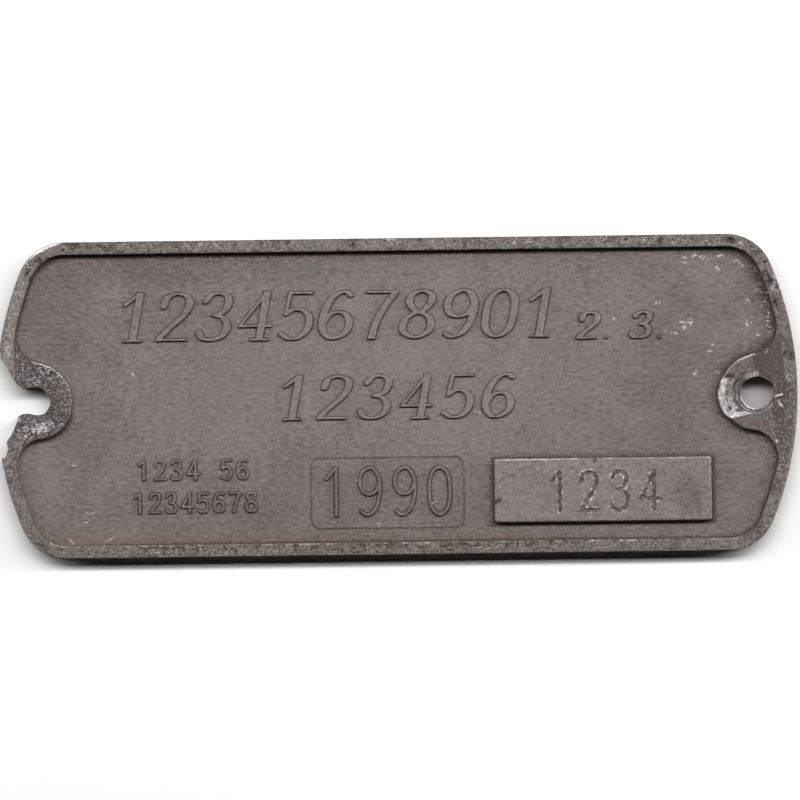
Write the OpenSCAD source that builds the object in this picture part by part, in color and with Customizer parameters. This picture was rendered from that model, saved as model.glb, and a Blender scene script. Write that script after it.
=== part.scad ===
// Cast aluminium wagon plate, lying on its back with its face up.
// X runs along the plate, Y across it, and the origin is in the middle of the back face.

/* [Plate] */
// Length over the two bowed ends
plate_l = 200; // [180:1:240]
// Height between the straight edges
plate_h = 79; // [72:1:95]
// Thickness at the rim, from the back to the face
plate_t = 5; // [4:0.1:8]
// Radius that bows each end outwards
end_r = 83.5; // [77:0.5:120]
// Radius of the four corners
corner_r = 12; // [8:0.5:18]
// Bevel that breaks the outer edge of the face
edge_bevel = 0.4; // [0.2:0.05:0.8]

/* [Rim and field] */
// Width of the raised rim where it meets the field
rim_w = 3.25; // [2.5:0.05:5]
// Depth of the sunken field below the rim
field_depth = 2; // [1:0.1:2.5]
// How far a cast wall on the face leans back for each millimetre of its height
wall_lean = 0.1; // [0.05:0.025:0.2]

/* [Fixing lugs] */
// Distance from the tip of the plate to the middle of a fixing hole
hole_inset = 10; // [9:0.25:13]
// Radius of each lug on the face
lug_r = 9.5; // [8:0.1:11]
// Radius of the hollow corner where a lug runs into the rim
lug_fillet = 7; // [4:0.5:9]
// Bore of the right lug, which is still whole
bore_d = 8.4; // [6:0.1:10]
// Width of the scraped seat round the mouth of the bore
seat_d = 11; // [10.6:0.1:12.5]
// Depth of the scraped seat
seat_depth = 1; // [0.5:0.1:1.4]
// How far the seat lies off the bore, towards the middle of the plate
seat_shift = 0.9; // [0:0.1:1.2]
// Width of the hole in the left lug, which is torn open to the edge
torn_hole_d = 7.4; // [6:0.1:9]

/* [Number pad] */
// Length of the pad's face
pad_l = 54; // [40:1:60]
// Height of the pad's face
pad_w = 15.7; // [12:0.1:20]
// How far the pad stands proud of the field
pad_rise = 1.8; // [0.6:0.1:2]
// Radius of the pad's corners
pad_corner = 0.8; // [0.4:0.1:2]
// Distance from the right tip of the plate to the pad
pad_inset = 21.8; // [18:0.1:30]
// Width of field left between the pad and the lower rim
pad_gap = 4.5; // [3:0.1:8]

/* [Date frame] */
// Length of the frame
date_l = 38.7; // [30:0.1:45]
// Height of the frame
date_w = 18.2; // [14:0.1:20]
// Radius of the frame's corners
date_corner = 2.5; // [1:0.1:4]
// Width of field left between the frame and the pad
date_gap = 7.4; // [4:0.1:12]
// Width of the frame's line
line_w = 0.6; // [0.4:0.1:1]
// How far the line stands proud of the field
line_rise = 0.3; // [0.2:0.1:0.6]

/* [Hidden] */
$fn = 180;

// Heights: the back is at 0, the field at web_t and the face at plate_t
web_t = plate_t - field_depth;
wall_run = field_depth * wall_lean;
// How far a cutting shape runs past what it cuts
past = 1;
// How far the hollow corner of a lug bites into the walls that it runs into
bite = 0.01;

// The straight edges end where the corners start, and the corners turn into the bowed ends
end_x = plate_l / 2 - end_r;
corner_y = plate_h / 2 - corner_r;
corner_x = end_x + sqrt(pow(end_r - corner_r, 2) - pow(corner_y, 2));
corner_angle = atan2(corner_y, corner_x - end_x);

// The hollow corner of a lug touches the lug and the inside of the rim, here at the face
hole_x = plate_l / 2 - hole_inset;
inner_r = end_r - rim_w + wall_run;
fillet_reach = inner_r - lug_fillet;
lug_reach = end_r - hole_inset;
fillet_angle = acos((pow(fillet_reach, 2) + pow(lug_reach, 2) - pow(lug_r + lug_fillet, 2))
                    / (2 * fillet_reach * lug_reach));

// The pad and the date frame stand in one row
pad_x = plate_l / 2 - pad_inset - pad_l / 2;
row_y = -(plate_h / 2 - rim_w - pad_gap - pad_w / 2);
date_x = pad_x - pad_l / 2 - date_gap - date_l / 2;

// The two lips of the tear, from the hole outwards: the first number is a share of hole_inset
// towards the tip, and the second is the height above the middle of the hole in millimetres
tear_upper = [[0.10, 3.60], [0.27, 3.00], [0.37, 3.05], [0.49, 5.20], [0.67, 7.70], [0.74, 8.90],
              [0.95, 10.2], [1.30, 11.0]];
tear_lower = [[0.17, -3.00], [0.31, -3.10], [0.40, -3.80], [0.43, -5.80], [0.55, -8.80],
              [0.70, -10.3], [0.66, -13.1], [0.77, -14.4], [1.30, -16.0]];

// A round pillar whose wall slopes from one radius to another, and may run past both ends
module pillar(r_low, r_high, z_low, z_high, over = 0) {
    slope = (r_high - r_low) / (z_high - z_low);
    translate([0, 0, z_low - over])
        cylinder(h = z_high - z_low + 2 * over, r1 = r_low - slope * over, r2 = r_high + slope * over);
}

// A quarter of the plate's outline, drawn in by one amount at the bottom and another at the top
module quarter(in_low, in_high, z_low, z_high) {
    half_h = plate_h / 2;
    reach = 1.2 * end_r;
    // The corner turns into the bowed end on the line from this point through the corner's middle
    far = [end_x + reach, reach * tan(corner_angle)];
    // The straight edge
    rotate([90, 0, 90])
        linear_extrude(corner_x)
            polygon([[0, z_low], [half_h - in_low, z_low], [half_h - in_high, z_high], [0, z_high]]);
    // The corner
    intersection() {
        translate([corner_x, corner_y, 0])
            pillar(corner_r - in_low, corner_r - in_high, z_low, z_high);
        translate([0, 0, z_low - past])
            linear_extrude(z_high - z_low + 2 * past)
                polygon([[corner_x, corner_y], far, [far[0], plate_h], [corner_x, plate_h]]);
    }
    // The bowed end
    intersection() {
        translate([end_x, 0, 0])
            pillar(end_r - in_low, end_r - in_high, z_low, z_high);
        translate([0, 0, z_low - past])
            linear_extrude(z_high - z_low + 2 * past)
                polygon([[corner_x, 0], [far[0], 0], far, [corner_x, corner_y]]);
    }
}

// The plate's whole outline, from four quarters that meet face to face
module slab(in_low, in_high, z_low, z_high) {
    for (x = [0, 1], y = [0, 1])
        mirror([x, 0, 0])
            mirror([0, y, 0])
                quarter(in_low, in_high, z_low, z_high);
}

// The space inside the rim, upright below the field and sloping above it
module pocket(over = 0) {
    slab(rim_w, rim_w, -over, web_t);
    slab(rim_w, rim_w - wall_run * (field_depth + over) / field_depth, web_t, plate_t + over);
}

// One layer of a lug on the right: a round boss with a hollow corner above and below it
module boss(grow_low, grow_high, z_low, z_high) {
    reach = end_r + past;
    fillet_x = end_x + fillet_reach * cos(fillet_angle);
    fillet_y = fillet_reach * sin(fillet_angle);
    translate([hole_x, 0, 0])
        pillar(lug_r + grow_low, lug_r + grow_high, z_low, z_high);
    for (edge = [-1, 1])
        difference() {
            translate([0, 0, z_low])
                linear_extrude(z_high - z_low)
                    polygon([[hole_x, 0], [fillet_x, edge * fillet_y],
                             [end_x + reach * cos(fillet_angle), edge * reach * sin(fillet_angle)],
                             [end_x + reach, 0]]);
            translate([fillet_x, edge * fillet_y, 0])
                pillar(lug_fillet + bite - grow_low, lug_fillet + bite - grow_high, z_low, z_high, past);
        }
}

// A whole lug on the right, before its hole: it fills the pocket from the back to the face
module lug_blank() {
    intersection() {
        pocket();
        union() {
            boss(wall_run, wall_run, 0, web_t);
            boss(wall_run, 0, web_t, plate_t);
        }
    }
}

// What the tear took out of the left lug and the rim
module tear() {
    lips = concat(tear_upper, [for (i = [len(tear_lower) - 1 : -1 : 0]) tear_lower[i]]);
    translate([-hole_x, 0, -past])
        linear_extrude(plate_t + 2 * past)
            polygon([for (p = lips) [-p[0] * hole_inset, p[1]]]);
    translate([-hole_x, 0, -past])
        cylinder(h = plate_t + 2 * past, d = torn_hole_d);
}

// A rounded rectangle
module round_box(l, w, r) {
    square([l - 2 * r, w], center = true);
    square([l, w - 2 * r], center = true);
    for (x = [-1, 1], y = [-1, 1])
        translate([x * (l / 2 - r), y * (w / 2 - r)])
            circle(r = r);
}

// A raised rounded rectangle with sloping walls; l and w are the size of its face
module raised_box(l, w, r, rise) {
    run = rise * wall_lean;
    rotate([90, 0, 90])
        linear_extrude(l - 2 * r, center = true)
            polygon([[-w / 2 - run, 0], [w / 2 + run, 0], [w / 2, rise], [-w / 2, rise]]);
    rotate([90, 0, 0])
        linear_extrude(w - 2 * r, center = true)
            polygon([[-l / 2 - run, 0], [l / 2 + run, 0], [l / 2, rise], [-l / 2, rise]]);
    for (x = [-1, 1], y = [-1, 1])
        translate([x * (l / 2 - r), y * (w / 2 - r), 0])
            cylinder(h = rise, r1 = r + run, r2 = r);
}

// The sunken field, with the fine raised frame round the date
module panel() {
    color("#7b7471") {
        difference() {
            slab(rim_w, rim_w, 0, web_t);
            for (side = [0, 1])
                mirror([side, 0, 0])
                    boss(wall_run, wall_run, -past, web_t + past);
        }
        translate([date_x, row_y, web_t])
            linear_extrude(line_rise)
                difference() {
                    round_box(date_l, date_w, date_corner);
                    round_box(date_l - 2 * line_w, date_w - 2 * line_w, date_corner - line_w);
                }
    }
}

// The raised border, which the tear interrupts at the left tip
module rim() {
    color("#7f7875")
        difference() {
            union() {
                slab(0, 0, 0, plate_t - edge_bevel);
                slab(0, edge_bevel, plate_t - edge_bevel, plate_t);
            }
            pocket(past);
            tear();
        }
}

// The left lug, torn open from its hole to the edge of the plate
module left_lug() {
    color("#6d6663")
        difference() {
            mirror([1, 0, 0])
                lug_blank();
            tear();
        }
}

// The right lug, with its bore and the seat that was scraped round the bore's mouth
module right_lug() {
    color("#6b6360")
        difference() {
            lug_blank();
            translate([hole_x, 0, -past])
                cylinder(h = plate_t + 2 * past, d = bore_d);
            translate([hole_x - seat_shift, 0, 0])
                pillar(bore_d / 2, seat_d / 2, plate_t - seat_depth, plate_t);
        }
}

// The flat block beside the date, which takes punched numbers
module number_pad() {
    color("#857d79")
        translate([pad_x, row_y, web_t])
            raised_box(pad_l, pad_w, pad_corner, pad_rise);
}

panel();
rim();
left_lug();
right_lug();
number_pad();
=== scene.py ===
"""Cast aluminium wagon plate: the worn casting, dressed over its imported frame.

The plate lies on its back: X runs along it, Y across it and Z out of its face. Sizes and places
are in millimetres, and turn into metres where a mesh, a lamp or the camera is made. The whole
number after the size or step in a call of ripple, cloud, honeycomb or fill_near picks its pattern.
"""
import logging
import math
from collections.abc import Callable
from dataclasses import dataclass, field
from enum import Enum
from functools import partial

import bpy
import numpy as np
from bpy.types import Material, Mesh, Node, NodeSocket as Socket, NodeTree, Object, World
from mathutils import Matrix, Vector
from mathutils.geometry import delaunay_2d_cdt


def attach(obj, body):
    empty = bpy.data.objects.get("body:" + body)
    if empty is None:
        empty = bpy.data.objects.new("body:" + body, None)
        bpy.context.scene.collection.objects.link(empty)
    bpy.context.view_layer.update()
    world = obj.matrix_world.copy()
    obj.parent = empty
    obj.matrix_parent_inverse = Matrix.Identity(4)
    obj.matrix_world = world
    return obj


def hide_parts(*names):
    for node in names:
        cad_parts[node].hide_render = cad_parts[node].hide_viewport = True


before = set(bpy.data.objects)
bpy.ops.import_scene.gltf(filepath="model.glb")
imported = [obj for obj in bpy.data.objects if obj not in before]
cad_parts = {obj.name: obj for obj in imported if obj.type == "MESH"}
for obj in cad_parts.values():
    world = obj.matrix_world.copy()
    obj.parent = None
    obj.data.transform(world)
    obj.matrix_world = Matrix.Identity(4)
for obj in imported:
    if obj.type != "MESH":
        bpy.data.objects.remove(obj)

LOG = logging.getLogger("wagon_plate")
MM = 0.001
Array = np.ndarray
Box = tuple[float, float, float, float]
Place = tuple[float, float]
Shape = Callable[[Array, Array], Array]
Hang = Callable[[Array, Array], tuple[Array, Array]]


# Uneven surfaces


def lattice(column: Array, row: Array, seed: int) -> Array:
    """Gives each cell of a grid its own fixed number, from -1 to 1.

    Args:
        column: Whole numbers along X.
        row: Whole numbers along Y.
        seed: Picks one grid of numbers.

    Returns:
        One number for each cell.
    """
    i, j = column.astype(np.int64), row.astype(np.int64)
    mixed = (i * 374761393 + j * 668265263 + seed * 144269504) & 0xFFFFFFFF
    mixed = ((mixed ^ (mixed >> 13)) * 1274126177) & 0xFFFFFFFF
    return ((mixed ^ (mixed >> 16)) & 0xFFFF) / 32767.5 - 1.0


def ripple(x: Array, y: Array, size: float, seed: int) -> Array:
    """Makes one layer of smooth unevenness, from -1 to 1.

    Args:
        x: Places along the plate.
        y: Places across the plate.
        size: Distance between one bump and the next.
        seed: Picks one pattern.

    Returns:
        One height for each place.
    """
    u, v = x / size, y / size
    i, j = np.floor(u), np.floor(v)
    u, v = u - i, v - j
    u, v = u * u * (3 - 2 * u), v * v * (3 - 2 * v)
    low = lattice(i, j, seed) * (1 - u) + lattice(i + 1, j, seed) * u
    high = lattice(i, j + 1, seed) * (1 - u) + lattice(i + 1, j + 1, seed) * u
    return low * (1 - v) + high * v


def cloud(x: Array, y: Array, size: float, seed: int, layers: int = 3) -> Array:
    """Adds finer and finer layers of unevenness, from about -1 to 1, each half the size of the last."""
    total = sum(ripple(x, y, size / 2**n, seed + n) / 2**n for n in range(layers))
    return total / (2 - 2 ** (1 - layers))


def ease(value: Array, low: float, high: float) -> Array:
    """Goes smoothly from 0 at low to 1 at high, and low may be the larger of the two."""
    t = np.clip((value - low) / (high - low), 0, 1)
    return t * t * (3 - 2 * t)


def band(value: Array, middle: float, width: float) -> Array:
    """Is 1 where the value lies in the middle of a soft band, and sinks to 0 beside it."""
    return np.exp(-(((value - middle) / width) ** 2))


def soft_spot(x: Array, y: Array, middle: Place, half: Place) -> Array:
    """Is 1 in the middle of an oval with these half sizes, and sinks to 0 around it."""
    return np.exp(-(((x - middle[0]) / half[0]) ** 2 + ((y - middle[1]) / half[1]) ** 2))


def fade(distance: Array, length: float) -> Array:
    """Is 1 at no distance or less, and dies away over the length."""
    return np.exp(-np.maximum(distance, 0) / length)


def oval(x: Array, y: Array, shape: "Blow | Stain") -> Array:
    """Measures how far off an oval's middle places lie, squared, where its edge is 1.

    Args:
        x: Places along the plate.
        y: Places across the plate.
        shape: The oval, with its half sizes and its direction.

    Returns:
        One number for each place.
    """
    c, s = math.cos(math.radians(shape.turn)), math.sin(math.radians(shape.turn))
    u, v = x - shape.x, y - shape.y
    return ((u * c + v * s) / shape.along) ** 2 + ((v * c - u * s) / shape.across) ** 2


# The plate's sizes and outlines


@dataclass(frozen=True)
class PlateSizes:
    """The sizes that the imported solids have."""

    half_l: float = 100.0
    half_h: float = 39.5
    face_z: float = 5.0
    field_z: float = 3.0
    end_r: float = 83.5
    corner_r: float = 12.0
    edge_bevel: float = 0.45
    rim_w: float = 3.25
    wall_run: float = 0.2
    hole_x: float = 90.0
    lug_r: float = 9.5
    hollow_r: float = 7.0
    bore_r: float = 4.2
    seat_r: float = 5.5
    seat_shift: float = 0.9
    seat_depth: float = 1.0
    torn_r: float = 3.5

    @property
    def box(self) -> Box:
        """Limits of the plate: left, right, bottom and top."""
        return -self.half_l, self.half_l, -self.half_h, self.half_h

    @property
    def end_x(self) -> float:
        """Where the middle of a bowed end's arc lies."""
        return self.half_l - self.end_r

    @property
    def corner_y(self) -> float:
        """Height of a corner's middle."""
        return self.half_h - self.corner_r

    @property
    def corner_x(self) -> float:
        """Where a straight edge turns into a corner."""
        return self.end_x + math.sqrt((self.end_r - self.corner_r) ** 2 - self.corner_y**2)

    @property
    def corner_angle(self) -> float:
        """Direction in which a corner turns into a bowed end."""
        return math.atan2(self.corner_y, self.corner_x - self.end_x)

    @property
    def rim_in(self) -> float:
        """Width of the rim's face, from the outline to the edge of the pocket."""
        return self.rim_w - self.wall_run

    @property
    def hollow(self) -> Place:
        """Middle of the hollow corner between the right lug and the rim above it.

        Returns:
            Its places along and across the plate.
        """
        reach = self.end_r - self.rim_in - self.hollow_r
        lug = self.hole_x - self.end_x
        span = self.lug_r + self.hollow_r
        angle = math.acos((reach**2 + lug**2 - span**2) / (2 * reach * lug))
        return self.end_x + reach * math.cos(angle), reach * math.sin(angle)


class Outline:
    """The plate's outline, its lugs and the tear, as rings of points and as distances."""

    STEP = 0.3
    # How far worn edges stand out past their plain radius, by direction in degrees
    RIGHT_SWELL = ((97, 105, 150, 160, 180, 212, 220, 228, 240, 250),
                   (0, -0.22, -0.25, -0.1, 0.3, 0.35, 0.1, -0.2, -0.05, 0))
    LEFT_SWELL = ((97, 105, 120, 135, 165, 195, 210, 240),
                  (0, -0.2, -0.25, -0.4, -0.5, -0.45, -0.15, 0))
    BORE_SWELL = ((20, 30, 45, 60, 120, 140, 150), (0, 0.08, -0.25, -0.38, -0.33, -0.1, 0))
    TORN_SWELL = ((-90, -60, -30, 0, 30, 60, 90, 110), (0, 0.25, 0.15, 0.05, -0.3, -0.15, 0.05, 0))
    ROUND = ((0,), (0,))
    # The two lips of the tear
    LIPS = (((-104, 14.9), (-98.75, 14.3), (-98.7, 12.0), (-98.55, 10.5), (-97.4, 8.9), (-96.6, 7.6),
             (-95.7, 5.7), (-94.3, 3.9), (-93.1, 3.05), (-92.3, 3.15), (-91.5, 3.4), (-91.0, 3.3)),
            ((-91.2, -3.25), (-93.1, -3.12), (-94.5, -3.75), (-94.85, -5.4), (-96.05, -8.15),
             (-97.4, -10.2), (-97.0, -11.9), (-97.9, -14.2), (-104, -16.2)))

    def __init__(self, sizes: PlateSizes) -> None:
        """Keeps the sizes and draws the tear."""
        self.sizes = sizes
        self.tear = self._draw_tear()

    def _arc(self, middle: Place, radius: float, start: float, stop: float, measure: float) -> Array:
        """Draws an arc, whose last point is left to the next run.

        Args:
            middle: Middle of the arc.
            radius: Radius of the arc.
            start: Angle of the first point.
            stop: Angle of the point after the last one.
            measure: Radius that sets how many points there are.

        Returns:
            Points, one per row.
        """
        count = max(4, round(abs(stop - start) * measure / self.STEP))
        angle = start + (stop - start) * np.arange(count) / count
        return np.stack([middle[0] + radius * np.cos(angle), middle[1] + radius * np.sin(angle)], 1)

    def ring(self, inset: float) -> Array:
        """Draws the plate's outline anticlockwise, drawn in by an amount.

        Args:
            inset: Distance inside the real outline.

        Returns:
            Points, as many for every inset.
        """
        s = self.sizes
        a, half = s.corner_angle, math.pi / 2
        cx, cy, cr, er, high = s.corner_x, s.corner_y, s.corner_r, s.end_r, s.half_h - inset
        side = np.linspace(cx, -cx, round(2 * cx / self.STEP) + 1)[1:-1]
        top = np.stack([side, np.full_like(side, high)], 1)
        end = self._arc((s.end_x, 0), er - inset, -a, a, er)
        middle = len(end) // 2
        return np.concatenate([
            end[middle:], self._arc((cx, cy), cr - inset, a, half, cr), [[cx, high]], top,
            self._arc((-cx, cy), cr - inset, half, 2 * half - a, cr),
            self._arc((-s.end_x, 0), er - inset, 2 * half - a, 2 * half + a, er),
            self._arc((-cx, -cy), cr - inset, 2 * half + a, 3 * half, cr), [[-cx, -high]], -top,
            self._arc((cx, -cy), cr - inset, 3 * half, 4 * half - a, cr), end[:middle]])

    def lug_ring(self, grow: float, side: int) -> Array:
        """Draws a lug's edge from the rim above it, round the hole, to the rim below it.

        Args:
            grow: How far the edge has spread, 0 at the face and wall_run at the field.
            side: 1 for the right lug and -1 for the left one.

        Returns:
            Points of an open line that ends inside the rim at both ends.
        """
        s = self.sizes
        hx, hy = s.hollow
        out = math.atan2(hy, hx - s.end_x)
        back = math.atan2(-hy, s.hole_x - hx)
        hollow = self._arc((hx, hy), s.hollow_r - grow, out, back, s.hollow_r)
        boss = self._arc((s.hole_x, 0), s.lug_r + grow, back + math.pi, 3 * math.pi - back - math.pi, s.lug_r)
        swell = self.swell(boss[:, 0] * side, boss[:, 1])[:, None] / (s.lug_r + grow)
        boss = boss + (boss - [s.hole_x, 0]) * swell
        lead = s.hollow_r + 1
        upper = np.concatenate([[[hx + lead * math.cos(out), hy + lead * math.sin(out)]], hollow])
        return np.concatenate([upper, boss, (upper * [1, -1])[::-1]]) * [side, 1]

    def inset_of(self, x: Array, y: Array) -> Array:
        """Measures how far places lie inside the outline.

        Args:
            x: Places along the plate.
            y: Places across the plate.

        Returns:
            One distance for each place, with a minus sign outside.
        """
        s = self.sizes
        ax, ay = np.abs(x), np.abs(y)
        bowed = s.end_r - np.hypot(ax - s.end_x, ay)
        corner = s.corner_r - np.hypot(ax - s.corner_x, ay - s.corner_y)
        past_straight = ax > s.corner_x
        at_corner = past_straight & (ay - s.corner_y > (ax - s.corner_x) * math.tan(s.corner_angle))
        straight = np.where(past_straight, bowed, np.minimum(bowed, s.half_h - ay))
        return np.where(at_corner, corner, straight)

    def swell(self, x: Array, y: Array) -> Array:
        """Says how far the round end of the nearer lug stands out past its plain radius.

        Args:
            x: Places along the plate.
            y: Places across the plate.

        Returns:
            One distance for each place.
        """
        angle = np.degrees(np.arctan2(y, np.abs(x) - self.sizes.hole_x)) % 360
        right, left = np.interp(angle, *self.RIGHT_SWELL), np.interp(angle, *self.LEFT_SWELL)
        return np.where(x > 0, right, left)

    def lug_gap(self, x: Array, y: Array, grow: float = 0.0) -> Array:
        """Measures how far places lie outside the nearer lug, with a minus sign on the lug.

        Args:
            x: Places along the plate.
            y: Places across the plate.
            grow: How far the lug's edge has spread, 0 at the face and wall_run at the field.

        Returns:
            One distance for each place.
        """
        s = self.sizes
        ax, ay = np.abs(x), np.abs(y)
        hx, hy = s.hollow
        past_lug = (hx - s.hole_x) * ay - hy * (ax - s.hole_x) < 0
        past_rim = (hx - s.end_x) * ay - hy * (ax - s.end_x) < 0
        hollow = s.hollow_r - grow - np.hypot(ax - hx, ay - hy)
        boss = np.hypot(ax - s.hole_x, ay) - s.lug_r - grow - self.swell(x, y)
        return np.where(past_lug & past_rim, hollow, boss)

    def _draw_tear(self) -> Array:
        """Draws the ragged edge that the tear left, from above the notch round to below it.

        Returns:
            Points of a closed shape that runs out past the tip.
        """
        rows = []
        for line in self.LIPS:
            for (x0, y0), (x1, y1) in zip(line, line[1:]):
                length = math.hypot(x1 - x0, y1 - y0)
                share = np.arange(0, length, 0.22) / length
                px, py = x0 + (x1 - x0) * share, y0 + (y1 - y0) * share
                rough = 0.13 * cloud(px, py, 0.9, 41, 2) * np.minimum(1, 4 * share * (1 - share) + 0.3)
                rows.append(np.stack([px - rough * (y1 - y0) / length, py + rough * (x1 - x0) / length], 1))
            rows.append(np.array([line[-1]]))
        return np.concatenate(rows)

    def torn(self, x: Array, y: Array) -> Array:
        """Says which places the tear and the hole beside it took away."""
        s = self.sizes
        return self.in_hole(x, y, -s.hole_x, s.torn_r, self.TORN_SWELL) | inside([self.tear], x, y)

    @staticmethod
    def in_hole(x: Array, y: Array, middle: float, radius: float, swell: tuple[tuple[float, ...], ...]) -> Array:
        """Says which places lie inside a hole that is a little out of round."""
        angle = np.degrees(np.arctan2(y, x - middle))
        return np.hypot(x - middle, y) < radius + np.interp(angle, *swell)

    @staticmethod
    def circle(x: float, radius: float, step: float, swell: tuple[tuple[float, ...], ...] = ROUND) -> Array:
        """Draws a ring round a place on the plate's middle line.

        Args:
            x: Where its middle lies along the plate.
            radius: Its plain radius.
            step: Distance between its points.
            swell: How far it stands out past its radius, by direction in degrees.

        Returns:
            Points, one per row.
        """
        angle = np.arange(-math.pi, math.pi, step / radius)
        radii = radius + np.interp(np.degrees(angle), *swell)
        return np.stack([x + radii * np.cos(angle), radii * np.sin(angle)], 1)


def inside(loops: list[Array], x: Array, y: Array) -> Array:
    """Says which places lie inside a set of closed loops.

    Args:
        loops: Closed lines of points, and a loop inside another is a hole.
        x: Places along the plate.
        y: Places across the plate.

    Returns:
        True for each place inside.
    """
    found = np.zeros(x.shape, bool)
    for loop in loops:
        (lx, ly), (ex, ey) = loop.T, np.roll(loop, -1, 0).T
        near = np.flatnonzero((x > lx.min()) & (x < lx.max()) & (y > ly.min()) & (y < ly.max()))
        slope = (ex - lx) / np.where(ey == ly, 1, ey - ly)
        for part in np.array_split(near, max(1, len(near) // 2000)):
            px, py = x[part, None], y[part, None]
            crossing = (ly > py) != (ey > py)
            left = px < lx + slope * (py - ly)
            found[part] ^= (np.sum(crossing & left, 1) % 2).astype(bool)
    return found


def honeycomb(box: Box, step: float, seed: int) -> tuple[Array, Array]:
    """Fills a rectangle with points in staggered rows, each a little off its place.

    Args:
        box: Limits of the rectangle: left, right, bottom and top.
        step: Distance between neighbours.
        seed: Picks the small shifts.

    Returns:
        Places along and across.
    """
    columns, rows = np.arange(box[0], box[1], step), np.arange(box[2], box[3], step * 0.866)
    i, j = np.meshgrid(np.arange(len(columns)), np.arange(len(rows)))
    x = columns[i] + (j % 2) * step / 2 + 0.12 * step * lattice(i, j, seed)
    y = rows[j] + 0.12 * step * lattice(i, j, seed + 1)
    return x.ravel(), y.ravel()


def fill_near(area: Shape, box: Box, step: float, seed: int, busy: Shape | None = None) -> Array:
    """Fills an area with staggered points.

    Args:
        area: Says which places to fill.
        box: Limits of the area: left, right, bottom and top.
        step: Distance between neighbours.
        seed: Picks the small shifts.
        busy: Says which places have fine detail and take more points.

    Returns:
        Points, one per row.
    """
    x, y = honeycomb(box, step, seed)
    chosen = area(x, y)
    if busy is None:
        return np.stack([x[chosen], y[chosen]], 1)
    chosen &= ~busy(x, y)
    u, v = honeycomb(box, 0.4 * step, seed)
    dense = busy(u, v) & area(u, v)
    return np.stack([np.append(x[chosen], u[dense]), np.append(y[chosen], v[dense])], 1)


# The casting's shared surfaces


@dataclass(frozen=True)
class Blow:
    """A knock, pit or raised burr: a soft oval into the face, or out of it if depth is negative."""

    x: float
    y: float
    along: float
    across: float
    turn: float
    depth: float

    def at(self, x: Array, y: Array) -> Array:
        """Measures how deep the blow goes at each place."""
        return self.depth * np.exp(-oval(x, y, self))


# Small pits that rust has eaten into the rim: place and direction
PITS = ((93.9, 29.5, 40), (93, 28.1, 80), (94.4, 27.7, 20), (93.5, 27.2, 60), (93.9, 26.5, 10),
        (95, 26, 50), (94.6, 22.3, 0), (95.1, 21.5, 70), (92.4, 32.4, 30), (-89, 35.2, 60),
        (-91.6, 32, 40), (-91.9, 32.9, 0), (-91, 30.5, 80), (-82.8, 37.5, 20), (-88.3, 35, 10),
        (-10.4, 38, 0), (-26.5, 38.6, 40), (17.5, 37.4, 70), (57.7, 38.4, 20), (96.9, 9.5, 60))


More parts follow.
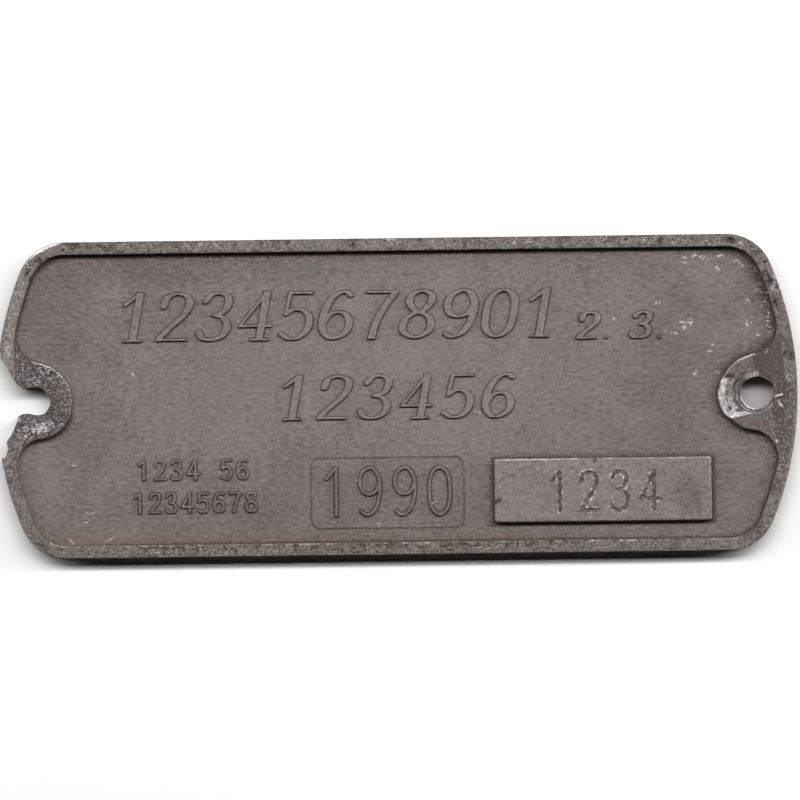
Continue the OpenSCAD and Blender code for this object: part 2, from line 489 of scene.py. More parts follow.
class Skin:
    """Heights of the casting's face, field and back, which all its pieces share so that they meet."""

    # Each row holds a blow's place, half length, half width, direction and depth
    BLOWS = tuple(Blow(*row) for row in (
        (-0.8, 39, 2.6, 0.9, 0, 0.35), (53.7, 38.5, 1.2, 0.6, 10, 0.16), (84, 38.2, 1.6, 0.7, -25, 0.2),
        (92, 29.8, 0.8, 0.5, 60, 0.25), (93.5, 27.3, 1.3, 0.6, 70, 0.3), (95.2, 23, 1, 0.5, 75, 0.3),
        (94.5, 22.2, 0.35, 0.35, 0, 0.4), (-72.3, 37.9, 1.6, 0.5, -10, 0.14),
        (-89.8, 33.9, 0.8, 0.5, 60, 0.15), (-4.7, -39.2, 0.8, 0.5, 0, 0.45), (8.3, -39.2, 0.7, 0.4, 0, 0.4),
        (-15.8, -38.2, 1.6, 0.5, 5, 0.12), (-94.1, -20.3, 0.4, 0.4, 0, 0.2), (-95.3, -22.7, 0.4, 0.5, 0, 0.2),
        (-93.3, -30.8, 0.4, 0.4, 0, 0.2), (-93.9, 16.5, 0.8, 0.5, 80, 0.14), (-98.2, -18.2, 0.9, 0.6, 70, 0.3),
        (40.2, 39.3, 0.8, 0.4, 0, 0.3), (-38, 39.3, 1.1, 0.35, 0, 0.25), (97.6, -16, 0.6, 0.5, 80, 0.22),
        (68, -39.3, 1.4, 0.35, 0, 0.2), (83.8, 37.9, 0.65, 0.42, -15, 0.8), (-80.5, 38.8, 1.2, 0.25, 0, 0.3),
        *((x, y, 0.25 + 0.006 * turn, 0.2, turn, 0.34) for x, y, turn in PITS)))
    BURRS = tuple(Blow(*row) for row in (
        (95.4, -1.05, 1.15, 0.3, 8, -0.34), (94.9, -2.7, 0.8, 0.22, -38, -0.2),
        (96.4, -3.9, 0.35, 0.8, -20, -0.26), (93.4, 4, 0.5, 0.35, -30, -0.16),
        (94.6, 1.9, 0.35, 0.9, 15, -0.15)))
    CUTS = tuple(Blow(*row) for row in (
        (82.9, 3.9, 1, 0.28, 5, 0.42), (83.1, -4, 0.3, 0.3, 0, 0.5), (81.9, 1.2, 0.5, 0.9, 20, 0.18),
        (83, -0.6, 0.35, 1.3, 0, 0.16), (81.6, -3.2, 0.5, 0.8, -20, 0.15), (86, 4.4, 1.6, 0.4, 25, 0.12)))

    def __init__(self, outline: Outline) -> None:
        """Keeps the outline that the heights follow."""
        self.outline = outline
        self.sizes = outline.sizes

    def pocket_distance(self, x: Array, y: Array) -> Array:
        """Measures how far places on the face lie from the edge of the pocket."""
        rim = np.maximum(self.sizes.rim_in - self.outline.inset_of(x, y), 0)
        return np.hypot(rim, np.maximum(-self.outline.lug_gap(x, y), 0))

    def field(self, x: Array, y: Array) -> Array:
        """Gives the height of the sunken field.

        Args:
            x: Places along the plate.
            y: Places across the plate.

        Returns:
            One height for each place.
        """
        s = self.sizes
        foot = np.minimum(self.outline.inset_of(x, y) - s.rim_w, self.outline.lug_gap(x, y, s.wall_run))
        height = s.field_z + 0.035 * cloud(x, y, 13, 3) + 0.016 * cloud(x, y * 1.6, 2.2, 7)
        return height + 0.008 * ripple(x, y, 0.8, 5) + 0.12 * fade(foot, 0.15)

    def face(self, x: Array, y: Array) -> Array:
        """Gives the height of the worn face of the rim and the lugs.

        Args:
            x: Places along the plate.
            y: Places across the plate.

        Returns:
            One height for each place.
        """
        s, inset = self.sizes, self.outline.inset_of(x, y)
        height = s.face_z - 0.085 + 0.02 * cloud(x, y, 9, 11) + 0.018 * cloud(x, y, 1.3, 17)
        height = height + 0.014 * ripple(x, y, 0.5, 19) - 0.12 * fade(inset - s.edge_bevel, 0.13)
        height = height - 0.05 * np.exp(-self.pocket_distance(x, y) / 0.1)
        for blow in self.BLOWS:
            height = height - blow.at(x, y)
        height = height - self.scraped(x, y) - self.torn_down(x, y)
        return np.minimum(height, s.face_z - 0.004)

    def seat_share(self, x: Array, y: Array) -> Array:
        """Measures how far up the seat's wall places lie: 0 at the bore and 1 at the face.

        Args:
            x: Places along the plate.
            y: Places across the plate.

        Returns:
            One share for each place.
        """
        s = self.sizes
        u, w = x - s.hole_x, s.seat_r - s.bore_r
        a = w * w - s.seat_shift**2
        b = 2 * s.bore_r * w - 2 * s.seat_shift * u
        c = s.bore_r**2 - u * u - y**2
        return np.clip((-b + np.sqrt(np.maximum(b * b - 4 * a * c, 0))) / (2 * a), 0, 1.6)

    @staticmethod
    def seat_side(degrees: Array) -> Array:
        """Is 1 on the side where the seat was cut deep, below and left of the bore."""
        return ease(np.cos(np.radians(degrees - 230)), -0.55, 0.2)

    def scraped(self, x: Array, y: Array) -> Array:
        """Gives the depth of the seat and of the scrapes round the right hole.

        Args:
            x: Places along the plate.
            y: Places across the plate.

        Returns:
            One depth for each place.
        """
        depth = np.zeros_like(x)
        near = (x > 78) & (np.abs(y) < 17)
        px, py = x[near], y[near]
        share = self.seat_share(px, py)
        far = np.hypot(px - self.sizes.hole_x, py)
        turn = np.degrees(np.arctan2(py, px - self.sizes.hole_x)) % 360
        lug = ease(far, 11.5, 8.5) * ease(self.outline.inset_of(px, py), 2.6, 3.8)
        worn = 0.05 * lug * (1 + cloud(px, py, 1.6, 23))
        side = self.seat_side(turn)
        seat = self.sizes.seat_depth * (1 - np.minimum(share, 1)) * (0.22 + 0.78 * side)
        ridges = 0.11 * np.sin(share * 14 + 3.0 * ripple(px, py, 2.1, 27)) * ease(share, 1.05, 0.9) * side
        crest = ease(far, 6.0, 7.4) * ease(share, 0.9, 1.2) * ease(turn, 140, 162) * ease(turn, 232, 220)
        facets = 0.1 * np.abs(ripple(far * 2.4, turn * 0.035, 1.0, 29)) + 0.07 * cloud(px * 0.8, py, 1.9, 30, 2)
        facets = facets + 0.02 * ripple(px, py, 0.45, 31)
        slope = 0.05 * np.maximum(far - 6.6, 0) ** 1.7 + 0.1
        rubbed = 0.12 * ease(np.hypot(px - 86.9, py - 5.9), 4.2, 2.8) * ease(share, 1.0, 1.25)
        lower = 0.10 * ease(np.hypot(px - 88.6, py + 7.6), 4.6, 2.6) * ease(share, 1.0, 1.25)
        cuts = sum(cut.at(px, py) for cut in self.CUTS)
        burrs = sum(burr.at(px, py) for burr in self.BURRS)
        depth[near] = worn + seat + ridges + crest * (slope + facets) + rubbed + lower + cuts + burrs + 0.06 * lug
        return depth

    def torn_down(self, x: Array, y: Array) -> Array:
        """Gives the depth of the broken and bruised metal of the left lug.

        Args:
            x: Places along the plate.
            y: Places across the plate.

        Returns:
            One depth for each place.
        """
        depth = np.zeros_like(x)
        near = (x < -78) & (np.abs(y) < 18)
        px, py = x[near], y[near]
        gap = self.outline.lug_gap(px, py)
        angle = np.degrees(np.arctan2(py, px + self.sizes.hole_x))
        lip = ease(angle, 14, 30) * ease(angle, 104, 92)
        bulge = 0.05 * band(gap, -0.22, 0.2) * lip
        groove = 0.16 * band(gap, -0.75, 0.25) * lip * (0.4 + 0.6 * ease(ripple(px, py, 2.2, 43), -0.3, 0.5))
        break_off = 1.25 * ease(py, -5.6, -3.3) * ease(py, 1, -1) * ease(px, -86.6, -88.2) * ease(px, -95.4, -94.4)
        upper = 0.35 * ease(np.hypot(px + 93.0, py - 3.2), 1.6, 0.4)
        weave = np.sign(np.sin(px * 4.1 + 1.3 * cloud(px, py, 3, 45)) * np.sin(py * 4.4))
        hatch = np.maximum(0.035 * weave * ease(gap, -0.6, -1.2), 0)
        rough = 0.05 * np.abs(cloud(px, py, 0.9, 47)) * ease(gap, 0, -1)
        depth[near] = groove - bulge + break_off + upper + hatch + rough
        return depth

    def back(self, x: Array, y: Array) -> Array:
        """Gives the height of the rough, flat back."""
        return 0.035 + 0.02 * cloud(x, y, 14, 53) + 0.012 * cloud(x, y, 2.5, 59)


class Wall(Enum):
    """What a point on the edge of a piece belongs to."""

    OUTER = "outer edge of the plate"
    POCKET = "wall down to the field"
    SEAM = "hidden meeting with the next piece of the casting"
    BORE = "wall of the fixing hole"
    TORN = "broken metal"


class Walls:
    """The sides of the casting's pieces, from the edge of the face down to the back."""

    LEVELS = (4.84, 4.72, 4.56, 4.3, 3.9, 3.4, 3.0, 2.5, 1.8, 1.1, 0.45, 0.18)
    # How far the outer edge stands out at each level, and at the back
    ROUNDED = (0.17, 0.3, 0.39, 0.435, *[0.445] * 6, 0.42, 0.35, 0.2)
    # How close to a line a point lies that belongs to it
    NEAR = 0.02

    def __init__(self, skin: Skin) -> None:
        """Keeps the surfaces that the walls hang from."""
        self.skin, self.outline, self.sizes = skin, skin.outline, skin.sizes

    def sort(self, points: Array) -> dict[Wall, Array]:
        """Says which points on an edge belong to each kind of wall.

        Args:
            points: Points on the edge of a face, one per row.

        Returns:
            For each kind of wall, True for the points that belong to it.
        """
        s = self.sizes
        x, y = points.T
        inset, gap = self.outline.inset_of(x, y), self.outline.lug_gap(x, y)
        outer = np.abs(inset - s.edge_bevel) < self.NEAR
        inner = ~outer & (np.abs(inset - s.rim_in) < self.NEAR)
        lug_edge = ~outer & ~inner & (np.abs(gap) < self.NEAR)
        rest, bore = ~(outer | inner | lug_edge), np.hypot(x - s.hole_x, y) < s.bore_r + 0.15
        seam = inner & (gap <= -self.NEAR)
        return {Wall.OUTER: outer, Wall.POCKET: inner & ~seam | lug_edge, Wall.SEAM: seam, Wall.BORE: rest & bore,
                Wall.TORN: rest & ~bore}

    def hang(self, points: Array, top: Array, is_lug: bool) -> tuple[Array, Array]:
        """Works out the rings of points below the edge of the face.

        Args:
            points: Edge of the face, in order.
            top: Height of each of its points.
            is_lug: True for a lug, whose seam leans the other way than the rim's.

        Returns:
            The outset and the height of each point, one row for each ring.
        """
        s = self.sizes
        x, y = points.T
        level = np.arange(len(self.LEVELS) + 1)[:, None]
        z = np.minimum(np.array(self.LEVELS)[:, None], top - 0.012 * level[1:])
        z = np.concatenate([z, self.skin.back(x, y)[None]])
        lean = np.clip((top - z) * s.wall_run / (s.face_z - s.field_z), 0, s.wall_run)
        along = x * 0.7 + y * 0.7
        rough = np.stack([cloud(along * 1.5 + 7 * mean, y - x + mean, 1.4, 61) for mean in z.mean(1)])
        shade = ease(level, 0, 2) * ease(level, 13, 11)
        outsets = {
            Wall.OUTER: np.array(self.ROUNDED)[:, None] - 0.025 * np.abs(rough) * shade,
            Wall.POCKET: lean + 0.03 * rough * shade,
            Wall.SEAM: -lean if is_lug else lean,
            Wall.BORE: -0.03 * (1 + rough) * shade,
            Wall.TORN: (0.16 * rough - 0.08) * shade,
        }
        return sum(outsets[kind] * here for kind, here in self.sort(points).items()), z


# Meshes


@dataclass
class Solid:
    """A closed mesh in the making."""

    points: Array
    faces: list[tuple[int, ...]]

    def mesh(self, name: str, smooth_below: float = 48.0) -> Object:
        """Turns the points into an object that sits at the origin.

        Args:
            name: Name of the piece.
            smooth_below: Angle in degrees past which an edge stays sharp.

        Returns:
            The new object, linked to the scene.
        """
        data = bpy.data.meshes.new(name)
        data.from_pydata((self.points * MM).tolist(), [], self.faces)
        data.polygons.foreach_set("use_smooth", np.ones(len(data.polygons), bool))
        data.set_sharp_from_angle(angle=math.radians(smooth_below))
        data.update()
        return placed(bpy.data.objects.new(name, data))


def placed(item: Object) -> Object:
    """Links a new object to the scene."""
    bpy.context.scene.collection.objects.link(item)
    return item


def spots_of(data: Mesh) -> Array:
    """Reads the places of a mesh's points, in metres.

    Args:
        data: The mesh.

    Returns:
        Places, one per row.
    """
    spots = np.empty(len(data.vertices) * 3, np.float32)
    data.vertices.foreach_get("co", spots)
    return spots.reshape(-1, 3)


def web(fences: list[tuple[Array, bool]], fill: Array, keep: Shape, up: bool) -> tuple[Array, Array, list[list[int]]]:
    """Fills a region with triangles.

    Args:
        fences: Lines that triangles may not cross, each with True if it is closed.
        fill: Loose points inside the region.
        keep: Says which places belong to the region.
        up: True if the triangles turn anticlockwise, seen from above.

    Returns:
        All points, the triangles, and for each point the numbers of those that it came from.
    """
    edges, start = [], 0
    for line, closed in fences:
        count = len(line)
        edges += [(start + i, start + (i + 1) % count) for i in range(count if closed else count - 1)]
        start += count
    spots = np.concatenate([*(line for line, _ in fences), fill.reshape(-1, 2)])
    found = delaunay_2d_cdt([Vector(p) for p in spots.tolist()], edges, [], 0, 1e-6)
    points, triangles = np.array([v[:] for v in found[0]]), np.array(found[2])
    a, b, c = (points[triangles[:, i]] for i in range(3))
    area = (b[:, 0] - a[:, 0]) * (c[:, 1] - a[:, 1]) - (b[:, 1] - a[:, 1]) * (c[:, 0] - a[:, 0])
    wrong = area < 0 if up else area > 0
    triangles[wrong] = triangles[wrong][:, ::-1]
    middle = (a + b + c) / 3
    return points, triangles[keep(middle[:, 0], middle[:, 1])], found[3]


def triangulate(fences: list[tuple[Array, bool]], fill: Array, keep: Shape) -> tuple[Array, Array]:
    """Fills a region of the face with triangles, and leaves out the points that none of them uses.

    Args:
        fences: Lines that triangles may not cross, each with True if it is closed.
        fill: Loose points inside the region.
        keep: Says which places belong to the region.

    Returns:
        The points that are left, and the triangles.
    """
    points, triangles, _ = web(fences, fill, keep, True)
    used, place = np.unique(triangles, return_inverse=True)
    return points[used], place.reshape(-1, 3)


def borders(triangles: Array) -> list[list[int]]:
    """Follows the edges that only one triangle has.

    Args:
        triangles: Rows of three point numbers.

    Returns:
        Closed loops of point numbers, with the region on their left.
    """
    edges = np.concatenate([triangles[:, [0, 1]], triangles[:, [1, 2]], triangles[:, [2, 0]]]).tolist()
    known = {(a, b) for a, b in edges}
    after: dict[int, list[int]] = {}
    for a, b in edges:
        if (b, a) not in known:
            after.setdefault(a, []).append(b)
    loops = []
    while after:
        here, loop = next(iter(after)), []
        while here in after:
            loop.append(here)
            step = after[here].pop()
            if not after[here]:
                del after[here]
            here = step
        loops.append(loop)
    return loops


def direction(lines: Array) -> Array:
    """Shortens each row to a length of 1."""
    return lines / np.maximum(np.linalg.norm(lines, axis=1, keepdims=True), 1e-9)


def cast(points: Array, triangles: Array, top: Shape, hang: Hang, under: Shape, under_step: float | None) -> Solid:
    """Closes a region of the face into a solid with walls and an underside.

    Args:
        points: Points of the region, from triangulate.
        triangles: Triangles of the region.
        top: Height of the face.
        hang: Gives outsets and heights of the rings of wall points below an edge of the face.
        under: Height of the underside.
        under_step: Distance between points of the underside, or None for its edges alone.

    Returns:
        The closed solid.
    """
    height = top(points[:, 0], points[:, 1])
    rows = [np.column_stack([points, height])]
    faces: list[tuple[int, ...]] = [tuple(t) for t in triangles.tolist()]
    count, lowest, numbers = len(points), [], []
    for loop in borders(triangles):
        edge = points[loop]
        outset, level = hang(edge, height[loop])
        along = direction(np.roll(edge, -1, 0) - np.roll(edge, 1, 0))
        normal = np.stack([along[:, 1], -along[:, 0]], 1)
        upper = np.array(loop)
        for k in range(len(level)):
            ring = edge + normal * outset[k][:, None]
            rows.append(np.column_stack([ring, level[k]]))
            lower = np.arange(count, count + len(loop))
            count += len(loop)
            after_upper, after_lower = np.roll(upper, -1), np.roll(lower, -1)
            faces += list(zip(upper.tolist(), lower.tolist(), after_lower.tolist(), after_upper.tolist()))
            upper = lower
        lowest.append(rows[-1][:, :2])
        numbers += upper.tolist()
    fill = np.empty((0, 2))
    if under_step:
        flat = np.concatenate(lowest)
        x, y = honeycomb((*np.sort(flat[:, 0])[[0, -1]], *np.sort(flat[:, 1])[[0, -1]]), under_step, 71)
        clear = inside(lowest, x, y)
        for dx, dy in ((0.35, 0), (-0.35, 0), (0, 0.35), (0, -0.35)):
            clear &= inside(lowest, x + dx * under_step, y + dy * under_step)
        fill = np.stack([x[clear], y[clear]], 1)
    fences = [(ring, True) for ring in lowest]
    spots, below, sources = web(fences, fill, lambda px, py: inside(lowest, px, py), False)
    place = np.full(len(spots), -1)
    for spot, origins in enumerate(sources):
        for origin in origins:
            if origin < len(numbers):
                place[spot] = numbers[origin]
    fresh = np.flatnonzero(place < 0)
    place[fresh] = count + np.arange(len(fresh))
    rows.append(np.column_stack([spots[fresh], under(spots[fresh, 0], spots[fresh, 1])]))
    faces += [tuple(t) for t in place[below].tolist()]
    return Solid(np.concatenate(rows), faces)


# Figures


# Strokes of each figure: how it is drawn, how much its steep parts thicken, and its points in
# hundredths of the figure's height
FIGURES: dict[str, tuple[tuple[str, float, tuple[Place, ...]], ...]] = {
    "0": (("loop", 1, ((30, 97), (10, 83), (5, 50), (10, 17), (30, 3), (50, 17), (55, 50), (50, 83))),),
    "1": (("line", 0.5, ((10, 76), (33, 97))), ("line", 1, ((34, 100), (34, 0))), ("foot", 0, ((34, 0),))),
    "2": (("bend", 1, ((7, 74), (12, 90), (30, 97), (49, 89), (53, 72), (45, 52), (25, 29), (7, 6))),
          ("line", 1, ((5, 4), (57, 4)))),
    "3": (("bend", 1, ((8, 82), (18, 94), (33, 97), (48, 88), (49, 70), (40, 57), (25, 53))),
          ("bend", 1, ((25, 53), (43, 48), (54, 32), (50, 13), (32, 3), (14, 6), (5, 18)))),
    "4": (("line", 0.1, ((42, 97), (4, 30))), ("line", 1, ((3, 30), (60, 30))),
          ("line", 1, ((43, 100), (43, 0))), ("foot", 0, ((43, 0),))),
    "5": (("line", 1, ((11, 96), (52, 96))), ("line", 0.3, ((12, 96), (10, 55))),
          ("bend", 1, ((10, 54), (22, 62), (38, 61), (52, 48), (54, 25), (42, 7), (24, 3), (6, 13)))),
    "6": (("bend", 1, ((50, 90), (36, 97), (17, 86), (6, 58), (6, 26), (18, 7), (31, 3),
                       (48, 12), (54, 30), (47, 49), (32, 56), (15, 50), (6, 34))),),
    "7": (("line", 1, ((4, 96), (57, 96))), ("bend", 1, ((55, 95), (40, 66), (29, 34), (25, 0)))),
    "8": (("loop", 1, ((30, 97), (13, 89), (11, 72), (30, 53), (49, 72), (47, 89))),
          ("loop", 1, ((30, 53), (8, 40), (7, 16), (30, 3), (53, 16), (52, 40)))),
    "9": (("bend", 1, ((10, 10), (24, 3), (43, 14), (54, 42), (54, 74), (42, 93), (29, 97),
                       (12, 88), (6, 70), (13, 51), (28, 44), (45, 50), (54, 66))),),
    ".": (("line", 1, ((10, 5), (12, 5))),),
}


@dataclass(frozen=True)
class Hand:
    """The way in which a line of figures is drawn."""

    height: float
    wide: float
    thick: float
    thin: float
    slant: float = 0.0
    feet: bool = False


@dataclass
class Row:
    """A row of plain figures on the plate."""

    text: str
    hand: Hand
    left: float
    base: float
    pitch: float
    strokes: list[tuple[Array, Array]] = field(default_factory=list)

    def __post_init__(self) -> None:
        """Draws the strokes of every figure."""
        for place, sign in enumerate(self.text):
            for manner, weight, points in FIGURES.get(sign, ()):
                self._draw(place, manner, weight, np.array(points) / 100)

    def _draw(self, place: int, manner: str, weight: float, points: Array) -> None:
        """Adds one stroke.

        Args:
            place: Which figure in the row it belongs to.
            manner: line, bend, loop or foot.
            weight: How much a steep stroke thickens.
            points: Points of the stroke, in shares of the figure's height.
        """
        hand = self.hand
        if manner == "foot":
            if not hand.feet:
                return
            points = points + [[-0.15, 0.02], [0.15, 0.02]]
        elif manner != "line":
            points = self._curve(points, manner == "loop")
        else:
            points = points[0] + (points[1] - points[0]) * np.linspace(0, 1, 6)[:, None]
        stretched = points * [hand.wide, 1] * hand.height
        steep = np.abs(direction(np.gradient(stretched, axis=0))[:, 1])
        radius = (hand.thin + (hand.thick - hand.thin) * weight * steep**1.7) / 2
        if manner == "foot":
            radius[:] = hand.thin / 2
        stretched[:, 0] += place * self.pitch
        self.strokes.append((stretched, radius))

    @staticmethod
    def _curve(points: Array, closed: bool) -> Array:
        """Runs a smooth curve through the points of a stroke.

        Args:
            points: Points of the stroke, one per row.
            closed: True if the stroke is a ring.

        Returns:
            Points of the curve, one per row.
        """
        if closed:
            ring = np.concatenate([points[-1:], points, points[:2]])
        else:
            ring = np.concatenate([[2 * points[0] - points[1]], points, [2 * points[-1] - points[-2]]])
        t = np.linspace(0, 1, 7)[:-1, None]
        rows = []
        for a, b, c, d in zip(ring, ring[1:], ring[2:], ring[3:]):
            square, cube = 2 * a - 5 * b + 4 * c - d, 3 * b - a - 3 * c + d
            rows.append(0.5 * (2 * b + (c - a) * t + square * t**2 + cube * t**3))
        rows.append(ring[-2:-1])
        return np.concatenate(rows)

    @property
    def box(self) -> Box:
        """Limits of the row: left, right, bottom and top.

        Returns:
            The limits, with room for the foot of the figures.
        """
        hand = self.hand
        lean = math.tan(math.radians(hand.slant)) * hand.height
        width = (len(self.text) - 1) * self.pitch + 0.62 * hand.wide * hand.height
        return self.left - 1.5, self.left + width + lean + 1.5, self.base - 1.2, self.base + hand.height + 1.2

    def gap(self, x: Array, y: Array) -> Array:
        """Measures how far places lie outside the strokes, with a minus sign inside them.

        Args:
            x: Places along the plate.
            y: Places across the plate.

        Returns:
            One distance for each place.
        """
        v = y - self.base
        u = x - self.left - v * math.tan(math.radians(self.hand.slant))
        nearest = np.full(u.shape, 9.0)
        for points, radius in self.strokes:
            reach = radius.max() + 1.0
            low, high = points.min(0) - reach, points.max(0) + reach
            near = np.flatnonzero((u > low[0]) & (u < high[0]) & (v > low[1]) & (v < high[1]))
            if not len(near):
                continue
            a, way = points[:-1], np.diff(points, axis=0)
            spot = np.stack([u[near], v[near]], 1)[:, None] - a[None]
            share = np.clip((spot * way).sum(2) / np.maximum((way**2).sum(1), 1e-12), 0, 1)
            off = np.linalg.norm(spot - share[..., None] * way, axis=2)
            width = radius[:-1] + (radius[1:] - radius[:-1]) * share
            nearest[near] = np.minimum(nearest[near], (off - width).min(1))
        return np.maximum(nearest, np.maximum(v - self.hand.height, -v))


def rows_gap(rows: tuple[Row, ...], x: Array, y: Array) -> Array:
    """Measures how far places lie outside the figures of all rows."""
    return np.minimum.reduce([row.gap(x, y) for row in rows])


ITALIC = Hand(height=12.3, wide=1.12, thick=1.85, thin=0.6, slant=10.5, feet=True)
SMALL_ITALIC = Hand(height=6.8, wide=1.25, thick=1.5, thin=0.6, slant=10.5)
SECOND = Hand(height=11.2, wide=1.15, thick=1.8, thin=0.6, slant=10.5, feet=True)
PLAIN = Hand(height=5.1, wide=0.95, thick=0.62, thin=0.62)
DATE = Hand(height=12.5, wide=0.82, thick=0.78, thin=0.78)
PUNCH = Hand(height=10.2, wide=0.8, thick=0.7, thin=0.7)
UPPER_ROWS = (Row("12345678901", ITALIC, -70.6, 14.3, 10.15), Row("2.3.", SMALL_ITALIC, 44.9, 13.7, 6.6))
MIDDLE_ROWS = (Row("123456", SECOND, -30.7, -5.7, 10.3),)
SMALL_ROWS = (Row("1234 56", PLAIN, -65.0, -20.3, 4.15), Row("12345678", PLAIN, -66.1, -28.5, 4.0))
DATE_ROWS = (Row("1990", DATE, -18.9, -29.9, 8.75),)
PUNCH_ROWS = (Row("1234", PUNCH, 37.6, -29.3, 7.6),)


@dataclass(frozen=True)
class RoundBox:
    """A rounded rectangle on the plate."""

    x: float
    y: float
    length: float
    width: float
    corner: float

    def gap(self, x: Array, y: Array) -> Array:
        """Measures how far places lie outside the rectangle, with a minus sign inside it.

        Args:
            x: Places along the plate.
            y: Places across the plate.

        Returns:
            One distance for each place.
        """
        u = np.abs(x - self.x) - self.length / 2 + self.corner
        v = np.abs(y - self.y) - self.width / 2 + self.corner
        return np.hypot(np.maximum(u, 0), np.maximum(v, 0)) + np.minimum(np.maximum(u, v), 0) - self.corner

    def limits(self, margin: float = 0.0) -> Box:
        """Gives the left, right, lower and upper limit, with a margin outside the rectangle."""
        half_l, half_w = self.length / 2 + margin, self.width / 2 + margin
        return self.x - half_l, self.x + half_l, self.y - half_w, self.y + half_w


PAD_BOX = RoundBox(51.2, -23.9, 54.0, 15.7, 0.55)
DATE_BOX = RoundBox(-2.55, -23.9, 38.7, 18.2, 2.5)


# Wear and stains, with painted shade and highlights


class Kind(Enum):
    """Marks on the metal or done to it, and painted shade and highlights; each is an attribute of the meshes."""

    # Bare metal, and also painted highlights on lit edges of the rim and the pad
    BARE_AND_HIGHLIGHT = "bare"
    RUST = "rust"
    # Grime, and also painted shade at the feet of walls, round the pad and on the pocket walls
    GRIME_AND_SHADE = "grime"
    BRUISE = "bruise"
    CHALK = "chalk"
    PALE = "pale"
    # Painted glints, and where the chips of bright metal are strewn
    GLINT = "glint"
    SMOOTH = "smooth"


@dataclass(frozen=True)
class Stain:
    """An oval patch with a soft, ragged edge."""

    kind: Kind
    x: float
    y: float
    along: float
    across: float
    turn: float
    strength: float

    def at(self, x: Array, y: Array) -> Array:
        """Measures how strong the patch is at each place."""
        return self.strength * np.exp(-(oval(x, y, self) ** 1.5))


def patches(kind: Kind, rows: tuple[tuple[float, ...], ...], strength: float = 1.0) -> list[Stain]:
    """Turns rows of place, half length, half width, direction and strength into stains of one kind."""
    return [Stain(kind, *row[:5], *(row[5:] or (strength,))) for row in rows]


def trail(kind: Kind, points: tuple[Place, ...], width: float, strength: float) -> list[Stain]:
    """Lays patches end to end along a line.

    Args:
        kind: What the patches are.
        points: Corners of the line.
        width: Half the width of the line.
        strength: Strength of the patches.

    Returns:
        One patch for each run of the line.
    """
    found = []
    for (x0, y0), (x1, y1) in zip(points, points[1:]):
        length = math.hypot(x1 - x0, y1 - y0)
        turn = math.degrees(math.atan2(y1 - y0, x1 - x0))
        found.append(Stain(kind, (x0 + x1) / 2, (y0 + y1) / 2, length * 0.62, width, turn, strength))
    return found


# Groups of pale flecks: place, half length and half width
FLECKS = (
    (72.1, 33.1, 1.3, 0.7), (77.6, 33.5, 1.5, 0.45), (80.3, 31, 1, 0.5), (85.3, 32.4, 1.2, 0.45),
    (75.1, 34.1, 2, 0.4), (86.5, 31.4, 1, 0.4), (82.2, 34.2, 1.8, 0.35), (87.7, 22.6, 1, 0.6),
    (71.9, 17.8, 1.2, 0.6), (73.4, 18.1, 0.8, 0.7), (73.6, 17.1, 0.8, 0.6), (71.9, 16.4, 1.1, 0.45),
    (88.1, 17.4, 0.9, 0.9), (90.5, 14.1, 1, 0.35), (78.5, 11.5, 0.8, 0.6), (78.3, 10.3, 0.9, 0.55),
    (69.6, 14.9, 1, 0.4), (74.5, 5.1, 0.9, 0.6), (92.7, 10.3, 0.9, 0.5), (65.2, 22.4, 0.9, 0.4),
    (80.2, 5, 0.6, 0.3), (92.9, 19.6, 0.5, 0.3), (92.9, 18.6, 0.5, 0.25), (92.9, 17.6, 0.5, 0.25),
    (92.8, 16.6, 0.5, 0.25), (92.6, 23.4, 0.5, 0.3), (92.4, 24.8, 0.5, 0.3), (-10.3, -20.7, 0.5, 0.3),
    (9, -26.7, 0.5, 0.4), (-4.6, -31.7, 0.5, 0.3), (54.3, 18.8, 0.5, 0.3), (-66.3, 6.4, 0.8, 0.3),
    (20, -4, 0.8, 0.3))
# Pale scratches with brown edges
SCRATCHES = (((-82.4, -34.4), (-81, -35.85)), ((-73.2, -35.4), (-70.7, -34.15)),
             ((-78.1, -27.7), (-76.9, -28.5), (-75.6, -27.9)), ((-78.8, -30.4), (-77.4, -30.5)),
             ((-81.5, -16.2), (-79.9, -16.3)))
# Dark smudges, bright spots and brown tints of the rim
RIM_SMUDGES = (
    (-83, 39.1, 1.2, 0.4, 0), (-79.7, 38.8, 0.9, 0.4, 20), (-73.5, 38.4, 1.3, 0.5, 0),
    (-72.3, 37.9, 1, 0.4, -30), (-70.3, 38.4, 0.9, 0.5, 30), (-71.8, 37.3, 1.2, 0.35, 0),
    (-68.5, 36.9, 1.4, 0.3, 0), (53.7, 38.3, 1.6, 0.5, 20), (56, 37.4, 1.2, 0.4, -30),
    (66, 38, 0.9, 0.8, 40), (83.5, 38, 1.5, 0.7, -15), (92, 29.8, 1, 0.6, 60),
    (93.5, 27.3, 1.5, 0.9, 70), (94.6, 22.6, 1, 0.7, 75), (-89.4, -35.9, 1.2, 0.35, -30),
    (-84.5, -37, 1.2, 0.35, -10), (-79.5, -37.6, 1, 0.3, 0), (-73.3, -38.1, 1.2, 0.3, 0),
    (-17.1, -38.1, 1.1, 0.4, 0), (-14.6, -38.4, 0.9, 0.5, 0), (-10.2, -38.7, 1.1, 0.4, 0),
    (-8.4, -38.2, 0.7, 0.3, 0), (-97, -20, 0.5, 0.8, 0), (-92, 31.5, 0.8, 0.5, 60),
    (35, 38.6, 0.7, 0.4, 0), (6, 38.9, 0.8, 0.3, 0), (-40, 38.3, 0.7, 0.4, 0), (96, 14, 0.7, 0.5, 80))
